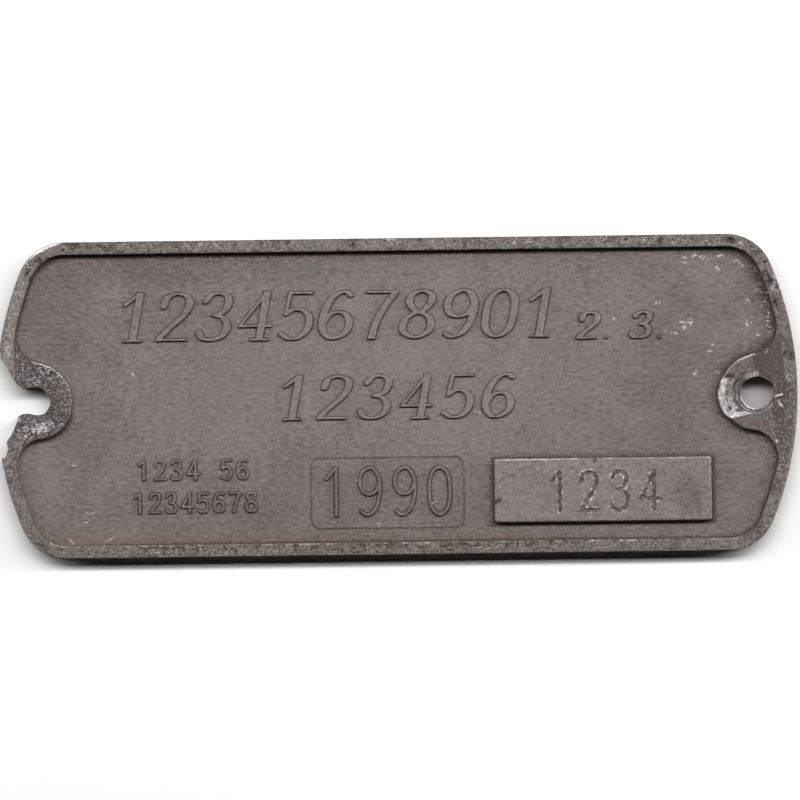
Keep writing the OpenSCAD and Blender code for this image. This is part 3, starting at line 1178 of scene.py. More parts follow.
RIM_BRIGHT = (
    (-87.5, 37.9, 2.2, 0.5, 32), (-84.5, 39, 1.6, 0.35, 15), (-94.1, -20.3, 0.4, 0.4, 0),
    (-95.3, -22.7, 0.4, 0.4, 0), (-93.3, -30.8, 0.4, 0.5, 0), (-51.8, 38.1, 1.6, 0.5, -40),
    (-48.5, 38.4, 1.3, 0.4, 50), (-44.5, 38.2, 1.6, 0.35, -50), (9.5, 38.5, 1, 0.5, 0),
    (30, 38.4, 1.4, 0.4, 60), (33.4, 38.5, 1.2, 0.35, 60), (62, 37.9, 0.9, 0.6, 50),
    (-0.8, 39.1, 2, 0.4, 0), (86.4, 37, 1.2, 0.4, -35), (-60, -38.2, 1.6, 0.4, 0), (20, -37.9, 1.2, 0.3, 0))
RIM_TINTS = ((-91.2, 35, 1.8, 1.4, 55, 0.9), (-78, 38.6, 5, 1.2, 0, 0.5), (92.8, 28.4, 3.4, 1.1, 68, 0.9),
             (72, 38.2, 6, 1, 0, 0.35), (44, 38, 4, 1, 0, 0.4), (-95.8, 19, 4, 1, 80, 0.35))
# The largest pits of the rim, the first of them a hole right through its skin
GREAT_PIT = (83.8, 37.9)
RIM_PITS = ((*GREAT_PIT, 1, 0.6, -15, 2.6), (-80.5, 38.8, 1.3, 0.3, 0, 1.8))
# Fine curled scratches on the lower rim and on the pad
RIM_CURL = ((-1.9, -38.4), (-1.6, -37.1), (-0.4, -36.5), (1, -36.6), (2.2, -37.4), (2.6, -38.6))
PAD_CURL = ((25.3, -21.8), (26.6, -20.5), (29.8, -19.6))
# Bright dents of the torn lug, and bright specks and brown spots of the other one
DENTS = (
    (-94.4, 11.1, 0.5, 0.3, 40), (-93.3, 9.3, 0.5, 0.3, 0), (-90.1, -7, 0.9, 0.5, 60),
    (-89.1, -6.5, 0.4, 0.7, 0), (-89.5, -7.8, 0.3, 0.8, 0), (-92.8, -6.7, 0.7, 0.4, 0),
    (-92.8, -8.7, 0.5, 0.5, 0), (-87.8, -7.3, 0.8, 0.4, 30), (-86, -5.5, 0.7, 0.3, 45),
    (-84.1, -5.8, 0.5, 0.3, 0), (-94.3, -4.3, 0.4, 0.8, 0), (-91.2, -9.1, 0.6, 0.3, 0))
SPECKS = ((94.6, -2.6, 0.2, 0.16), (95.3, -2.2, 0.16, 0.24), (96.6, -2.4, 0.14, 0.3), (94.7, -4.4, 0.26, 0.14),
          (97, -5, 0.14, 0.22), (93.9, -6.2, 0.2, 0.14), (95.6, -6.9, 0.16, 0.2), (94.4, -8.8, 0.2, 0.14),
          (95.9, -10.2, 0.14, 0.24), (93.6, 3.4, 0.2, 0.14))
SPOTS = ((86.2, 5.9), (87.2, 5.2), (86.8, -7), (87.5, -7.8), (89.8, -8.1), (90.5, -7.6), (88.5, -8.6),
         (86, -6.9))
LUG_GLINT = ((-89.5, -7.2, 5.5, 2.6, 12, 0.55), (-88, 5.5, 6, 3.2, -20, 0.25), (-83.5, 0, 1.8, 4.5, 0, 0.15),
             (94, -10, 2, 6, 0, 0.3), (95, 3, 2, 7, 0, 0.15))
LUG_GRIME = ((83.2, 3.9, 1.1, 0.35, 0, 1), (83.1, -4, 0.3, 0.3, 0, 1.5), (82.3, 0.6, 0.3, 0.9, 0, 0.8),
             (82.6, 1.6, 1.3, 0.3, 40, 0.6))
# Long marks on the lugs, and along the feet of the rim and the pad: half width, strength and corners
LUG_TRAILS = ((Kind.BARE_AND_HIGHLIGHT, 0.24, 1, ((93.9, -1.3), (95.2, -1), (96.3, -0.7))),
              (Kind.BARE_AND_HIGHLIGHT, 0.13, 0.8, ((95.4, -2.9), (95.9, -3.3), (96.4, -4.2))),
              (Kind.GRIME_AND_SHADE, 0.26, 1.3, ((94, -2.1), (95.1, -3.3), (95.6, -4.4))))
FIELD_TRAILS = (
    (Kind.RUST, 1.8, 0.9, ((-92.9, -17.2), (-91.8, -29.7), (-88.2, -34.2), (-74.5, -35.6), (-40, -35.9), (0, -36),
                           (50, -36))),
    (Kind.RUST, 0.5, 0.9, ((24.2, -15.3), (50, -15.4), (78.2, -15.4))),
    (Kind.RUST, 1.7, 0.9, ((-82, 34.9), (0, 35), (80, 34.9))),
    (Kind.PALE, 0.3, 1.5, ((24.6, -16.25), (39, -16.3))),
    (Kind.BARE_AND_HIGHLIGHT, 0.2, 0.35, ((25.5, -16.25), (38, -16.3))),
    (Kind.PALE, 0.25, 1.2, ((50, -16.25), (77.6, -16.3))),
    (Kind.PALE, 1.5, 1.1, ((-93.2, -23), (-92.4, -29.7), (-88.8, -34.6))),
    (Kind.PALE, 0.22, 1.3, ((-70, -36.35), (-30, -36.35), (80, -36.35))),
    (Kind.RUST, 0.5, 0.7, ((-80, -35.9), (0, -36), (82, -36))))
FIELD_GRIME = (
    (49.2, -16.6, 0.4, 0.9, -30, 0.9), (24.9, -26.6, 1, 0.5, 20, 1.5), (15, -29, 95, 13, 0, 0.2),
    (-79, -12, 8, 6, 0, 0.3), (70, 5, 14, 26, 0, 0.2), (-50, 33, 42, 5, 0, 0.3), (-84, 22, 9, 14, 0, 0.25),
    (72.5, -24.8, 4, 5.8, 0, 0.42))
FIELD_PALE = ((10, 9, 64, 25, 0, 0.7), (-55, 0, 26, 18, 0, 0.25))
FIELD_RUST = ((84, -22, 8, 12, 0, 0.4), (-30, -27, 55, 10, 0, 0.3), (60, -10, 30, 6, 0, 0.2))
# Left edge of the brown skin on the right lug: places across the plate, and the places along it
BROWN_EDGE = ((-18, -15, -13.5, -10.5, -7.4, -3.5, -1.5, 1.9, 4.4, 5.6, 8.7, 10.7, 12.5),
              (97.5, 96, 95, 94.2, 93.9, 93.6, 94.6, 94.6, 91, 89.7, 89, 90.6, 93))
# Strength of the bright line round the torn lug, by direction in degrees
TORN_EDGE = ((-25, 0, 15, 30, 45, 60, 75, 92, 98), (0, 0.35, 0.4, 0.55, 0.75, 0.8, 1.2, 1.2, 0))
# Half the length and half the width of the pad's foot
PAD_FOOT = (27.2, 8.05)


class Weather:
    """Everything that has marked the plate, place by place, and the painted shade and highlights laid over it."""

    def __init__(self, skin: Skin) -> None:
        """Collects the stains."""
        self.skin, self.outline, self.sizes = skin, skin.outline, skin.sizes
        self.stains = self._chalk() + self._smudges()

    @staticmethod
    def _chalk() -> list[Stain]:
        """Lists the pale flecks and scratches.

        Returns:
            The stains, in the order in which they are added up.
        """
        chance, found = np.random.default_rng(5), []
        for x, y, along, across in FLECKS:
            for _ in range(round(2 + 1.6 * along + 2 * across)):
                u, v, a, b, strength, turn = chance.random(6)
                place = x + (1.7 * u - 0.85) * along, y + (2 * v - 1) * across
                half = 0.16 + 0.26 * a * along, 0.14 + 0.2 * b * across
                found.append(Stain(Kind.CHALK, *place, *half, 90 * turn - 30, 0.4 + 0.9 * strength))
        for line in SCRATCHES:
            found += trail(Kind.CHALK, line, 0.2, 0.8) + trail(Kind.RUST, line, 0.45, 1.1)
        return found

    @staticmethod
    def _smudges() -> list[Stain]:
        """Lists the other stains of the rim, the lugs and the field.

        Returns:
            The stains, in the order in which they are added up.
        """
        return [
            *patches(Kind.GRIME_AND_SHADE, RIM_SMUDGES),
            *(Stain(Kind.BARE_AND_HIGHLIGHT, x, y, 0.8 * a, 0.7 * b, turn, 0.5) for x, y, a, b, turn in RIM_BRIGHT),
            *patches(Kind.RUST, RIM_TINTS),
            *(Stain(Kind.GRIME_AND_SHADE, x, y, 0.34 + 0.007 * turn, 0.3, turn, 1.9) for x, y, turn in PITS),
            *patches(Kind.GRIME_AND_SHADE, RIM_PITS),
            *trail(Kind.GRIME_AND_SHADE, RIM_CURL, 0.22, 0.4),
            *patches(Kind.BARE_AND_HIGHLIGHT, DENTS, 0.5),
            *patches(Kind.GLINT, LUG_GLINT),
            *patches(Kind.RUST, ((-82.8, -0.5, 1.8, 5.5, 0, 0.6), *((x, y, 0.7, 0.45, 20, 1) for x, y in SPOTS))),
            *(stain for kind, width, amount, line in LUG_TRAILS for stain in trail(kind, line, width, amount)),
            *patches(Kind.BARE_AND_HIGHLIGHT, ((81.8, 2.7, 0.8, 0.4, 15, 1), *((x, y, a, b, 30, 0.8) for x, y, a, b in SPECKS),
                                 (95.4, -3.2, 0.6, 0.9, 0, 0.5), (94.7, -12.4, 0.4, 0.5, 0, 0.9))),
            *(Stain(Kind.GRIME_AND_SHADE, x + 0.3, y - 0.35, 1.6 * a, 1.3 * b, 60, 0.9) for x, y, a, b in SPECKS),
            *patches(Kind.GRIME_AND_SHADE, LUG_GRIME),
            *(stain for kind, width, amount, line in FIELD_TRAILS for stain in trail(kind, line, width, amount)),
            *patches(Kind.GRIME_AND_SHADE, FIELD_GRIME),
            *patches(Kind.PALE, FIELD_PALE),
            *patches(Kind.RUST, FIELD_RUST),
            *trail(Kind.GRIME_AND_SHADE, PAD_CURL, 0.25, 0.5)]

    def flecked(self, x: Array, y: Array) -> Array:
        """Says which places of the field have flecks on them or close by.

        Args:
            x: Places along the plate.
            y: Places across the plate.

        Returns:
            True for each such place.
        """
        found = (x > 83) & (self.outline.inset_of(x, y) < 5.8) & (y > -28)
        for stain in self.stains:
            if stain.kind is Kind.CHALK:
                found |= np.hypot(x - stain.x, y - stain.y) < stain.along + 0.5
        return found

    @staticmethod
    def pitted(x: Array, y: Array) -> Array:
        """Says which places of the rim have pits on them or close by.

        Args:
            x: Places along the plate.
            y: Places across the plate.

        Returns:
            True for each such place.
        """
        found = np.hypot(x - GREAT_PIT[0], y - GREAT_PIT[1]) < 1.3
        for pit_x, pit_y, _ in PITS:
            found |= np.hypot(x - pit_x, y - pit_y) < 0.8
        return found

    def right_lug(self, x: Array, y: Array) -> dict[Kind, Array]:
        """Works out the wear round the right hole, which follows the seat.

        Args:
            x: Places along the plate.
            y: Places across the plate.

        Returns:
            Strength of each kind of mark.
        """
        s, seat = self.sizes, self.skin.seat_share(x, y)
        inset, gap = self.outline.inset_of(x, y), self.outline.lug_gap(x, y)
        far = np.hypot(x - s.hole_x, y)
        angle = np.degrees(np.arctan2(y, x - s.hole_x)) % 360
        lug = ease(gap, 0.25, -0.05) * ease(inset, 2.9, 3.2) * (x > 70)
        outside = 1 - (1 - ease(seat, 0.97, 1.06)) * self.skin.seat_side(angle)
        edge = np.interp(y, *BROWN_EDGE)
        brown = ease(x - edge + 0.35 * ripple(x, y, 1.1, 171), -0.15, 0.15) * ease(y, 15, 12.5) * (x > 70)
        freckled = 0.35 + 0.15 * ease(y, 6, -4) + 0.9 * ease(cloud(x, y, 0.9, 172, 2), -0.15, 0.3)
        on_rim = np.clip(ease(y, 9, 1), 0.3, 1) * ease(inset, 0.4, 1.2) * freckled
        brown = brown * np.where(inset < 3.2, on_rim, 0.85 + 0.35 * cloud(x, y, 0.8, 174, 2))
        border = 0.5 * (x > 88) * ease(inset, 3.4, 3.0) * ease(inset, 0.4, 1.0) * (np.abs(y) < 26)
        brown = np.maximum(brown, border * freckled)
        cut = np.clip(sum(blow.at(x, y) for blow in Skin.CUTS[:2]) / 0.3, 0, 1)
        crest = lug * outside * ease(angle + 5 * ripple(x, y, 1.2, 169), 146, 164) * ease(angle, 224, 216)
        wedge = np.clip(0.9 - 0.14 * (x - 83.5), 0.05, 0.95)
        smear = lug * outside * ease(np.abs(y + 5.65 - 0.065 * (x - 83.5)) / wedge, 1.2, 0.5)
        smear = smear * ease(x, 89.6, 88.6) * (x < 90)
        streak = ripple(far * 2.4, angle * 0.035, 1.0, 29)
        facets = 0.5 + 0.32 * streak + 0.3 * ease(gap, -1.1, -0.3) + 0.22 * ripple(x, y, 0.8, 173)
        upper = lug * band(gap, -0.22, 0.2) * ease(x, 90.0, 89.2) * ease(y, 3.5, 5)
        upper = upper * (0.45 + 0.6 * ease(x, 83.5, 86) + 0.3 * ripple(x, y, 1.1, 168))
        waves = np.sin(seat * 14 + 3.0 * ripple(x, y, 2.1, 27)) + 0.7 * ripple(x, y, 0.9, 175)
        inner = (1 - outside) * ease(waves, 0.15, 1.1) * ease(angle, 160, 185) * ease(angle, 352, 335)
        outer = band(seat - 0.97 - 0.06 * ripple(x, y, 2, 176), 0, 0.07) * ease(angle, 225, 245)
        outer = outer * ease(angle, 345, 320) * 0.6
        outer = outer + band(seat, 0.08, 0.07) * ease(angle, 190, 205) * ease(angle, 335, 310) * 0.9
        lip = lug * ease(far - s.bore_r, 1.5 + 0.5 * ripple(x, y, 1.5, 178), 0.4)
        lip = lip * ease(angle, 80, 90) * ease(angle, 145, 125) * 0.5
        bright = (crest * np.clip(facets, 0.1, 1.15) + smear * 1.6 + 0.95 * upper) * (1 - cut)
        rubbed = lug * outside * ease(x - edge, 0.1, -0.3)
        ring = lug * band(seat, 1.0, 0.07) * ease(angle, 120, 150) * ease(angle, 290, 250) * 0.5
        return {
            Kind.BARE_AND_HIGHLIGHT: bright + 0.5 * inner + 1.4 * outer + lip,
            Kind.BRUISE: brown * outside,
            Kind.SMOOTH: (1 - outside) * (seat > -0.5) * (far < 8),
            Kind.PALE: rubbed * (0.25 + 0.4 * ripple(x, y, 0.8, 177)),
            Kind.RUST: 0.5 * (rubbed * soft_spot(x, y, (86.8, 6.0), (1.3, 1.1))),
            Kind.GLINT: 0.05 * brown * ease(x, 93.8, 94.6) + 0.05 * rubbed,
            Kind.GRIME_AND_SHADE: ring + 1.2 * (1 - outside) * ease(waves, -0.2, -1.1) + 2.0 * lug * cut,
        }

    def left_lug(self, x: Array, y: Array) -> dict[Kind, Array]:
        """Works out the wear round the torn hole: woven scratches and a tan fringe.

        Args:
            x: Places along the plate.
            y: Places across the plate.

        Returns:
            Strength of each kind of mark.
        """
        gap, inset = self.outline.lug_gap(x, y), self.outline.inset_of(x, y)
        lug = ease(gap, 0.1, -0.3) * (x < -70)
        warp = 0.9 * cloud(x, y, 3.0, 45)
        across, upright = np.abs(np.sin(y * 5.2 + warp)), np.abs(np.sin(x * 4.9 + warp))
        lines = np.maximum(ease(upright, 0.6, 0.95) * ease(ripple(x * 2, y * 0.7, 1.5, 179), -0.3, 0.2),
                           ease(across, 0.6, 0.95) * ease(ripple(x * 0.7, y * 2, 1.5, 180), -0.3, 0.2))
        broken = 1.15 * ease(ripple(x, y, 0.38, 181), -0.05, 0.2)
        low = soft_spot(x, y, (-89.4, -6.7), (6.2, 2.3)) * (0.3 + 0.6 * ease(ripple(x, y, 1.1, 189), -0.3, 0.3))
        high = 0.42 * soft_spot(x, y, (-89.5, 6.3), (5.5, 2.8)) + 0.1 * ease(x, -86, -83) + 0.1
        fringe = band(gap, 0.35, 0.5) * (x < -70) * ease(x, -89.5, -87.5) * ease(y, -5, -1) * ease(inset, 3.2, 3.6)
        edge = np.interp(np.degrees(np.arctan2(y, x + self.sizes.hole_x)), *TORN_EDGE)
        edge = edge * band(gap + 0.26 - 0.08 * ripple(x, y, 1.5, 185), 0, 0.2)
        edge = edge * (0.85 + 0.4 * ripple(x, y, 0.9, 187))
        return {
            Kind.BARE_AND_HIGHLIGHT: lug * (lines * broken * np.clip(1.05 * low + 1.3 * high, 0, 1.1) + 1.4 * edge),
            Kind.RUST: 1.4 * fringe,
            Kind.GRIME_AND_SHADE: 0.7 * lug * ease(cloud(x, y, 1.1, 183, 2), 0.1, 0.6),
        }

    def dirt_and_shade(self, x: Array, y: Array, wall: Array, right: Array, tan: Array) -> Array:
        """Works out the grime and the painted shade on the field, along the walls and round the pad.

        Args:
            x: Places along the plate.
            y: Places across the plate.
            wall: How far the places lie from the walls of the rim and the lugs.
            right: How near they lie to the right end, where the grime and painted shade along the walls reach furthest.
            tan: Where the tan fringe of the torn lug keeps the grime and painted shade away.

        Returns:
            Strength of the grime and painted shade.
        """
        # A streaky band along the walls, widest at the right end and under the upper rim: grime and painted shade
        streaks = 1 + 0.5 * cloud(x * 0.45, y * 2.2, 1.4, 191, 2)
        reach = 0.25 + 1.25 * right + 0.15 * ease(y, 20, 34)
        # Painted shadow at the foot of the upper rim's wall and below the lugs' lower edges, and painted shade and
        # grime at the foot of the other walls
        under = np.maximum(ease(y, 30, 35), 0.8 * (np.abs(x) > 78) * ease(y, -1, -5) * ease(y, -17, -13))
        foot = (0.55 + 0.65 * under) * band(wall, 0, 0.4 + 0.5 * under) * (1 - 0.9 * tan)
        dirt_and_shade = reach * streaks * fade(wall, 1.2 + 0.7 * right) * (1 - tan) + foot
        dirt_and_shade = dirt_and_shade * (1 - 0.75 * ease(x, -60, -84) * ease(y, -8, -16))
        # Painted shade round the foot of the pad, stronger beside its ends
        beside, above = np.abs(x - PAD_BOX.x) - PAD_FOOT[0], np.abs(y - PAD_BOX.y) - PAD_FOOT[1]
        pad = np.hypot(np.maximum(beside, 0), np.maximum(above, 0))
        pad_shade_weight = np.where(beside > above, 1.0, 0.75)
        return dirt_and_shade + pad_shade_weight * (0.75 * band(pad, 0, 0.9) + 0.25 * fade(pad, 1.5)) * (pad < 6)

    def marks(self, x: Array, y: Array, z: Array, own: dict[Kind, Array]) -> dict[Kind, Array]:
        """Works out every mark on a piece.

        Args:
            x: Places along the plate.
            y: Places across the plate.
            z: Their heights.
            own: Marks of the piece's own.

        Returns:
            Strength of each kind of mark.
        """
        sources = [own]
        if x.max() > 88 and z.max() > 4.75:
            sources.insert(0, self.right_lug(x, y))
        if x.min() < -88:
            sources.insert(-1, self.left_lug(x, y))
        found = {kind: sum(source.get(kind, 0.0) for source in sources) for kind in Kind}
        for stain in self.stains:
            found[stain.kind] = found[stain.kind] + stain.at(x, y)
        inset, lug_gap = self.outline.inset_of(x, y), self.outline.lug_gap(x, y)
        wall = np.minimum(inset - self.sizes.rim_w, lug_gap)
        low = ease(z, 3.6, 3.3) * ease(wall, -0.5, -0.1)
        right = ease(x, 66, 92) * ease(y, -42, 12)
        tan = (x < -70) * ease(lug_gap, 2.0, 1.2) * ease(y, -6, -1) * ease(x, -90, -87.5)
        face = ease(z, 4.4, 4.7)
        # Painted highlight along the lit inner edge of the lower rim, broken up by a pattern
        lip = face * band(inset - self.sizes.rim_in, -0.1, 0.16) * ease(y, -33, -35.5)
        rim = face * ease(inset, 3.3, 3.1)
        line = band(ripple(x * 0.7 + y * 0.4, y - 0.3 * x, 2.6, 195), 0, 0.06)
        scratch = line * ease(ripple(x, y, 3.5, 196), 0.1, 0.4) * rim
        left = ease(x, -88, -94) * ease(y, -4, 4) * rim
        calm = 0.6 * ease(x, -60, -80) * ease(y, -12, -18)
        edge = rim * ease(inset, 0.9, 0.45)
        pits = np.clip(2.2 * found[Kind.RUST], 0, 1.4) * ease(ripple(x, y, 0.66, 199), 0.15, 0.5)
        pits = pits + 0.9 * ease(ripple(x, y, 0.8, 201), 0.68, 0.85)
        dashes = right * low * ease(ripple(x * 0.9, y * 2.8, 1.0, 203), 0.35, 0.75) * band(wall, 1.3, 1.2)
        dashes = dashes * ease(x, 84, 89) * ease(ripple(x, y, 2.7, 204), -0.5, 0.4)
        found[Kind.GLINT] += 0.1 * ease(inset, 3.3, 2.9) * ease(z, 4.5, 4.8) * (1 + 0.9 * ease(x, 20, -20))
        # Bare outer edge, brighter lower down, and the painted highlight along the lower rim's inner edge
        found[Kind.BARE_AND_HIGHLIGHT] += 0.16 * edge * ease(y, 20, -20) + 0.5 * lip * ease(ripple(x, y, 1.6, 193), -0.1, 0.5)
        found[Kind.BARE_AND_HIGHLIGHT] += 0.45 * scratch + 0.13 * left
        # Worn outer edge at the top-left corner, painted bright as a highlight where it catches the light
        found[Kind.BARE_AND_HIGHLIGHT] += 1.3 * rim * ease(inset, 0.75, 0.5) * band(x, -87.5, 3.5) * (y > 30)
        found[Kind.CHALK] += 0.75 * dashes
        # Painted shade on the rim's walls down to the field, then the grime and painted shade of the field along its
        # walls
        found[Kind.GRIME_AND_SHADE] += 0.35 * ease(z, 4.4, 3.6) * ease(inset, 3.6, 3.2) * (1 - tan)
        found[Kind.GRIME_AND_SHADE] += low * self.dirt_and_shade(x, y, wall, right, tan) + 0.3 * edge * ease(y, -15, 15)
        clouds = 0.45 * ease(cloud(x, y, 3.5, 198, 2), 0.12, 0.6) * (1 - 0.8 * left)
        found[Kind.GRIME_AND_SHADE] += rim * (1 - calm) * (clouds + pits * (1 - 0.5 * left))
        groove = 0.8 * rim * band(inset, 2.7, 0.13) * ease(x, -90, -92) * ease(y, 8, 12)
        found[Kind.GRIME_AND_SHADE] += groove * ease(ripple(x, y, 3, 205), -0.6, 0)
        found[Kind.PALE] += 1.0 * left + 0.7 * rim * ease(cloud(x, y, 4.5, 197, 2), 0.05, 0.5) * (1 - left)
        return found

    def dress(self, item: Object, extra: dict[Kind, Array]) -> None:
        """Writes the strength of each kind of mark to the points of a mesh.

        Args:
            item: The piece.
            extra: Marks of the piece's own, added to those of the plate.
        """
        x, y, z = (spots_of(item.data) / MM).T.astype(float)
        upper = ease(z, 2.3, 2.8)
        for kind, amount in self.marks(x, y, z, extra).items():
            layer = item.data.attributes.new(kind.value, "FLOAT", "POINT")
            layer.data.foreach_set("value", (amount * upper).astype(np.float32))


# Finishes


def shade(red: float, green: float, blue: float) -> tuple[float, float, float, float]:
    """Turns a screen colour from 0 to 255 into the linear colour of a paint."""
    parts = [(c / 255 / 12.92) if c < 10.3 else ((c / 255 + 0.055) / 1.055) ** 2.4 for c in (red, green, blue)]
    return parts[0], parts[1], parts[2], 1.0


Colour = tuple[float, float, float]
Feed = Socket | float | int | str | tuple[float, ...]
WHITE = (1.0, 1.0, 1.0, 1.0)


class Sketch:
    """A node tree in the making."""

    def __init__(self, tree: NodeTree) -> None:
        """Starts with the tree as it is."""
        self.tree = tree

    def feed(self, socket: Socket, value: Feed) -> None:
        """Links a socket to another one, or sets its value.

        Args:
            socket: The socket that is fed.
            value: Another socket, or a plain value.
        """
        if isinstance(value, Socket):
            self.tree.links.new(value, socket)
        else:
            socket.default_value = value

    def add(self, kind: str, inputs: dict[str | int, Feed], **settings: object) -> Node:
        """Adds a node.

        Args:
            kind: The node's type.
            inputs: What goes into its sockets, by name or number.
            **settings: Its options.

        Returns:
            The node.
        """
        node = self.tree.nodes.new(kind)
        for name, value in settings.items():
            setattr(node, name, value)
        for name, value in inputs.items():
            self.feed(node.inputs[name], value)
        return node

    def out(self, kind: str, inputs: dict[str | int, Feed], output: str | int = 0, **settings: object) -> Socket:
        """Adds a node, and gives one of its outputs."""
        return self.add(kind, inputs, **settings).outputs[output]

    def math(self, operation: str, a: Feed, b: Feed = 0.0, clamp: bool = False) -> Socket:
        """Joins two numbers by a sum, product or the like."""
        return self.out("ShaderNodeMath", {0: a, 1: b}, operation=operation, use_clamp=clamp)

    def times(self, a: Feed, b: Feed, clamp: bool = False) -> Socket:
        """Multiplies two numbers."""
        return self.math("MULTIPLY", a, b, clamp)

    def plus(self, a: Feed, b: Feed) -> Socket:
        """Adds two numbers."""
        return self.math("ADD", a, b)

    def vector(self, operation: str, inputs: dict[str | int, Feed], output: str | int = 0) -> Socket:
        """Works something out from one or two places."""
        return self.out("ShaderNodeVectorMath", inputs, output, operation=operation)

    def mix(self, share: Feed, a: Feed, b: Feed) -> Socket:
        """Mixes two colours."""
        return self.out("ShaderNodeMix", {0: share, 6: a, 7: b}, 2, data_type="RGBA", blend_type="MIX")

    def level(self, share: Feed, a: Feed, b: Feed) -> Socket:
        """Mixes two numbers."""
        return self.out("ShaderNodeMix", {0: share, 2: a, 3: b}, data_type="FLOAT")

    def spread(self, value: Feed, low: Feed, high: Feed) -> Socket:
        """Stretches the range from low to high until it goes from 0 to 1."""
        return self.out("ShaderNodeMapRange", {"Value": value, "From Min": low, "From Max": high}, "Result")

    def noise(self, place: Feed, size: Feed, detail: float, rough: float = 0.5) -> Socket:
        """Adds an uneven pattern whose patches have the given size.

        Args:
            place: Where the pattern is read.
            size: Size of a patch.
            detail: How many finer layers it has.
            rough: How strong they are.

        Returns:
            The strength of the pattern.
        """
        scale = 1 / size if isinstance(size, (int, float)) else self.math("DIVIDE", 1.0, size)
        inputs = {"Vector": place, "Scale": scale, "Detail": detail, "Roughness": rough}
        return self.out("ShaderNodeTexNoise", inputs)

    def place(self) -> Socket:
        """Gives the place on the object, in metres."""
        return self.out("ShaderNodeTexCoord", {}, "Object")

    def attribute(self, kind: Kind) -> Socket:
        """Reads one of the marks written by Weather."""
        return self.out("ShaderNodeAttribute", {}, "Fac", attribute_name=kind.value)

    def seen(self, path: Node) -> Socket:
        """Is 1 for the rays of a light path that show a surface, straight or through a mirror or glass."""
        bent = self.math("MAXIMUM", path.outputs["Is Glossy Ray"], path.outputs["Is Transmission Ray"])
        return self.math("MAXIMUM", path.outputs["Is Camera Ray"], bent)

    def metal(self, inputs: dict[str | int, Feed]) -> None:
        """Ends a material's tree with a metal or dull surface."""
        surface = self.out("ShaderNodeBsdfPrincipled", inputs)
        self.add("ShaderNodeOutputMaterial", {"Surface": surface})


def sketched(owner: Material | World) -> Sketch:
    """Empties a node tree, and starts a sketch of it.

    Args:
        owner: The material or the world.

    Returns:
        The sketch.
    """
    owner.use_nodes = True
    owner.node_tree.nodes.clear()
    return Sketch(owner.node_tree)


def new_group(name: str, inputs: dict[str, str], outputs: dict[str, str],
              kind: str = "ShaderNodeTree") -> tuple[Sketch, Node, Node]:
    """Starts a node group.

    Args:
        name: Name of the group.
        inputs: Type of each socket that goes in.
        outputs: Type of each socket that comes out.
        kind: Type of its tree.

    Returns:
        The sketch of its tree, its input node and its output node.
    """
    tree = bpy.data.node_groups.new(name, kind)
    for way, sockets in (("INPUT", inputs), ("OUTPUT", outputs)):
        for label, socket_type in sockets.items():
            tree.interface.new_socket(name=label, in_out=way, socket_type=socket_type)
    sketch = Sketch(tree)
    return sketch, sketch.add("NodeGroupInput", {}), sketch.add("NodeGroupOutput", {})


FLOAT, VECTOR, GEOMETRY = "NodeSocketFloat", "NodeSocketVector", "NodeSocketGeometry"


class Effects:
    """The node groups that the finishes share."""

    def __init__(self) -> None:
        """Builds the groups."""
        self.skin = self._skin()
        self.mark = self._mark()

    @staticmethod
    def _skin() -> NodeTree:
        """Builds the pattern of a sand-cast skin: streaky mottling, sharp grain, specks for the painted glints, and
        pits.

        Returns:
            The tree of the group.
        """
        results = dict.fromkeys(("Mottle", "Grain", "Speck", "Pit", "Height"), FLOAT)
        sizes = {"Place": VECTOR, "Mottle Size": FLOAT, "Streak": FLOAT, "Grain Size": FLOAT}
        s, start, end = new_group("cast_skin", sizes, results)
        place = s.vector("SCALE", {0: start.outputs["Place"], "Scale": 1 / MM})
        parts = s.add("ShaderNodeSeparateXYZ", {0: place})
        run = s.math("DIVIDE", parts.outputs[0], start.outputs["Streak"])
        streaky = s.out("ShaderNodeCombineXYZ", {0: run, 1: parts.outputs[1], 2: parts.outputs[2]})
        coarse = s.noise(streaky, start.outputs["Mottle Size"], 3.0, 0.55)
        broad = s.noise(place, 9.0, 2.0)
        grain = s.noise(place, start.outputs["Grain Size"], 1.0, 0.6)
        other = s.vector("ADD", {0: place, 1: (37.0, 11.0, 5.0)})
        speck = s.noise(other, s.times(start.outputs["Grain Size"], 1.3), 1.0, 0.7)
        pit = s.spread(speck, 0.38, 0.3)
        height = s.plus(s.times(coarse, 0.6), s.times(grain, 0.55))
        for label, value in {
            "Mottle": s.spread(s.plus(s.times(coarse, 0.75), s.times(broad, 0.25)), 0.36, 0.64),
            "Grain": s.spread(grain, 0.34, 0.66),
            "Speck": s.spread(speck, 0.58, 0.7),
            "Pit": pit,
            "Height": s.math("SUBTRACT", height, s.times(pit, 0.5)),
        }.items():
            s.feed(end.inputs[label], value)
        return s.tree

    @staticmethod
    def _mark() -> NodeTree:
        """Builds the ragged mask of a mark from its soft strength.

        Returns:
            The tree of the group.
        """
        sizes = dict.fromkeys(("Strength", "Grain", "Raggedness", "Softness"), FLOAT)
        s, start, end = new_group("ragged_mark", sizes, {"Mask": FLOAT})
        strength, grain, raggedness, softness = (start.outputs[label] for label in sizes)
        shift = s.times(s.math("SUBTRACT", grain, 0.5), raggedness)
        rough = s.times(s.math("MINIMUM", s.times(strength, 8.0), 1.0), shift)
        s.feed(end.inputs["Mask"], s.spread(s.plus(strength, rough), 0.15, s.plus(softness, 0.15)))
        return s.tree


# How ragged and how soft the edge of each kind of mark is
EDGES = {Kind.PALE: (0.5, 1.2), Kind.RUST: (0.5, 1.1), Kind.BRUISE: (0.4, 0.8), Kind.GRIME_AND_SHADE: (0.8, 0.85),
         Kind.BARE_AND_HIGHLIGHT: (0.4, 0.85), Kind.CHALK: (0.4, 1.0), Kind.SMOOTH: (0.2, 0.8)}
# How much of the colour below each kind of mark hides, from the lowest up
COVERS = ((Kind.PALE, 0.5), (Kind.RUST, 0.45), (Kind.BRUISE, 0.75), (Kind.SMOOTH, 0.9), (Kind.GRIME_AND_SHADE, 0.8))


